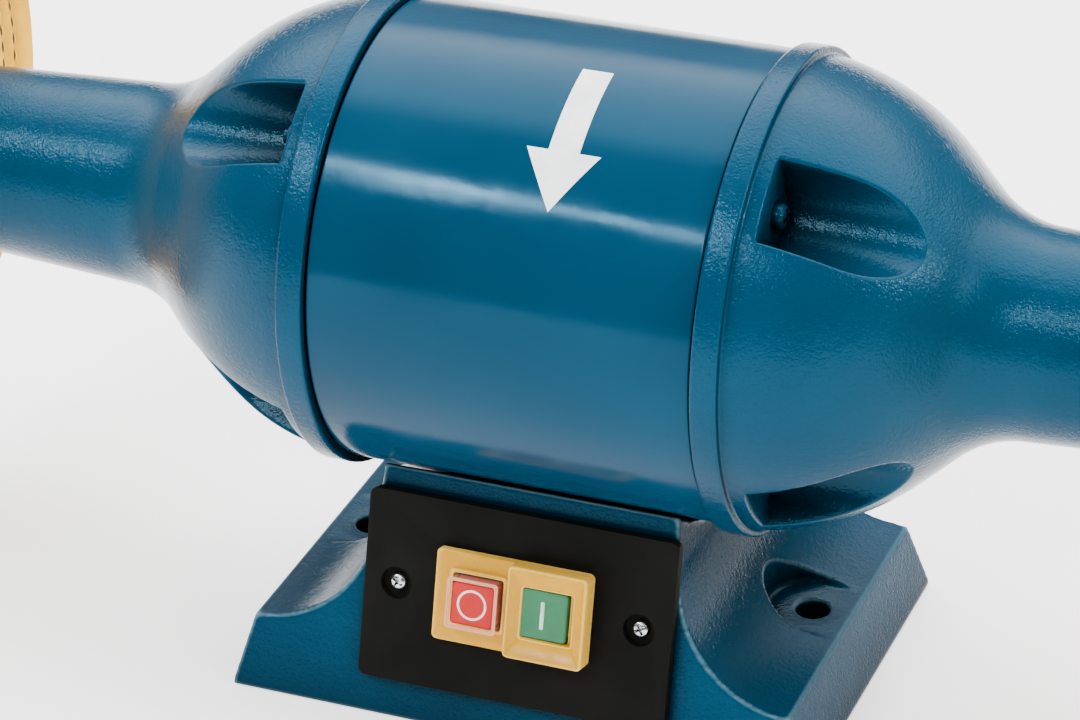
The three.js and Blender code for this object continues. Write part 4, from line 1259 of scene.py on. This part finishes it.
def build_camera():
    a, e, r = (math.radians(v) for v in (CAMERA_AZIMUTH, CAMERA_ELEVATION, CAMERA_ROLL))
    right = Vector((math.cos(a), math.sin(a), 0))
    back = Vector((math.sin(a) * math.cos(e), -math.cos(a) * math.cos(e), math.sin(e)))
    up = back.cross(right)
    x_axis = right * math.cos(r) + up * math.sin(r)
    y_axis = up * math.cos(r) - right * math.sin(r)
    lens = bpy.data.cameras.new("camera")
    lens.lens = CAMERA_LENS
    lens.sensor_width = 36
    camera = in_scene("camera", lens)
    turn = Matrix((x_axis, y_axis, back)).transposed().to_4x4()
    camera.matrix_world = Matrix.Translation(
        Vector(CAMERA_FROM_SPINDLE) + Vector((0, 0, AXIS_HEIGHT * MM))) @ turn
    bpy.context.scene.camera = camera


def build_floor():
    """Wide white floor, just under the base."""
    reach, level = 20000, -0.3
    corners = ((-reach, -reach), (reach, -reach), (reach, reach), (-reach, reach))
    floor = as_object("studio_floor", [(x, y, level) for x, y in corners], [(0, 1, 2, 3)])
    s = Shader("studio_white", Roughness=0.9, Specular_IOR_Level=0.1, Emission_Strength=1.0)
    s.main.inputs["Emission Color"].default_value = (1, 1, 1, 1)
    s.feed("Base Color", s.ramp(s.noise(3.0, 2.0), (0.3, 0.9), (0.7, 0.92)))
    floor.data.materials.append(s.material)
    floor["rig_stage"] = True


def softbox(name, place, target, width, height, radiance):
    """Rectangular lamp, in metres, that faces a target."""
    light = bpy.data.lights.new(name, "AREA")
    light.shape = "RECTANGLE"
    light.size, light.size_y = width, height
    light.energy = radiance * math.pi * width * height
    lamp = in_scene(name, light)
    lamp.location = place
    lamp.rotation_mode = "QUATERNION"
    lamp.rotation_quaternion = (Vector(target) - Vector(place)).to_track_quat("-Z", "Y")


# radiance of the room from behind and below the camera (0) to above and behind the machine (1)
ROOM = ((0.0, 0.1), (0.5, 0.13), (0.78, 0.28), (0.91, 0.9), (0.962, 7.5))
ROOM_FACING = (0.0, 0.423, 0.906)
ROOM_WIDENING = (0.42, 1.0, 1.0)  # stretches the bright patch overhead along the machine


def build_room():
    """White cyclorama behind and above the machine, dark room in front of it."""
    world = bpy.data.worlds.new("studio")
    world.use_nodes = True
    tree = world.node_tree
    background = tree.nodes["Background"]
    source = tree.nodes.new("ShaderNodeTexCoord").outputs["Generated"]
    for how, vector, result in (("MULTIPLY", ROOM_WIDENING, "Vector"), ("NORMALIZE", None, "Vector"),
                                ("DOT_PRODUCT", ROOM_FACING, "Value")):
        step = tree.nodes.new("ShaderNodeVectorMath")
        step.operation = how
        if vector:
            step.inputs[1].default_value = vector
        tree.links.new(source, step.inputs[0])
        source = step.outputs[result]
    spread = tree.nodes.new("ShaderNodeMapRange")
    spread.inputs["From Min"].default_value = -1.0
    shade = tree.nodes.new("ShaderNodeValToRGB")
    for _ in range(3):
        shade.color_ramp.elements.new(0.5)
    for element, (position, value) in zip(shade.color_ramp.elements, ROOM):
        element.position = position
        element.color = (value, value, value, 1)
    tree.links.new(source, spread.inputs["Value"])
    tree.links.new(spread.outputs["Result"], shade.inputs["Fac"])
    tree.links.new(shade.outputs["Color"], background.inputs["Color"])
    background.inputs["Strength"].default_value = 1.0
    bpy.context.scene.world = world


def build_lights():
    centre = (0, 0, AXIS_HEIGHT * MM)
    softbox("front_strip", (-1.6, -3.3, 4.0), centre, 6.0, 0.34, 52)
    softbox("glare_box", (-2.2, -3.2, 3.9), centre, 0.8, 0.8, 34)
    softbox("side_softbox", (4.5, -1.2, 3.6), centre, 1.6, 2.2, 9)
    softbox("neck_glint", (4.6, -0.2, 2.3), centre, 0.4, 0.5, 190)


# ---------- build ----------

build_camera()
build_floor()
build_room()
build_lights()
build_bells()
build_shell()
build_rotation_arrow()
build_base()
build_plate()
build_bezel()
build_buttons()
build_plate_screws()
build_tie_bolts()
build_cover_screws()
build_spindle()
build_flanges()
build_wheels()
build_caps()
build_gland()
dress_kept_nodes()
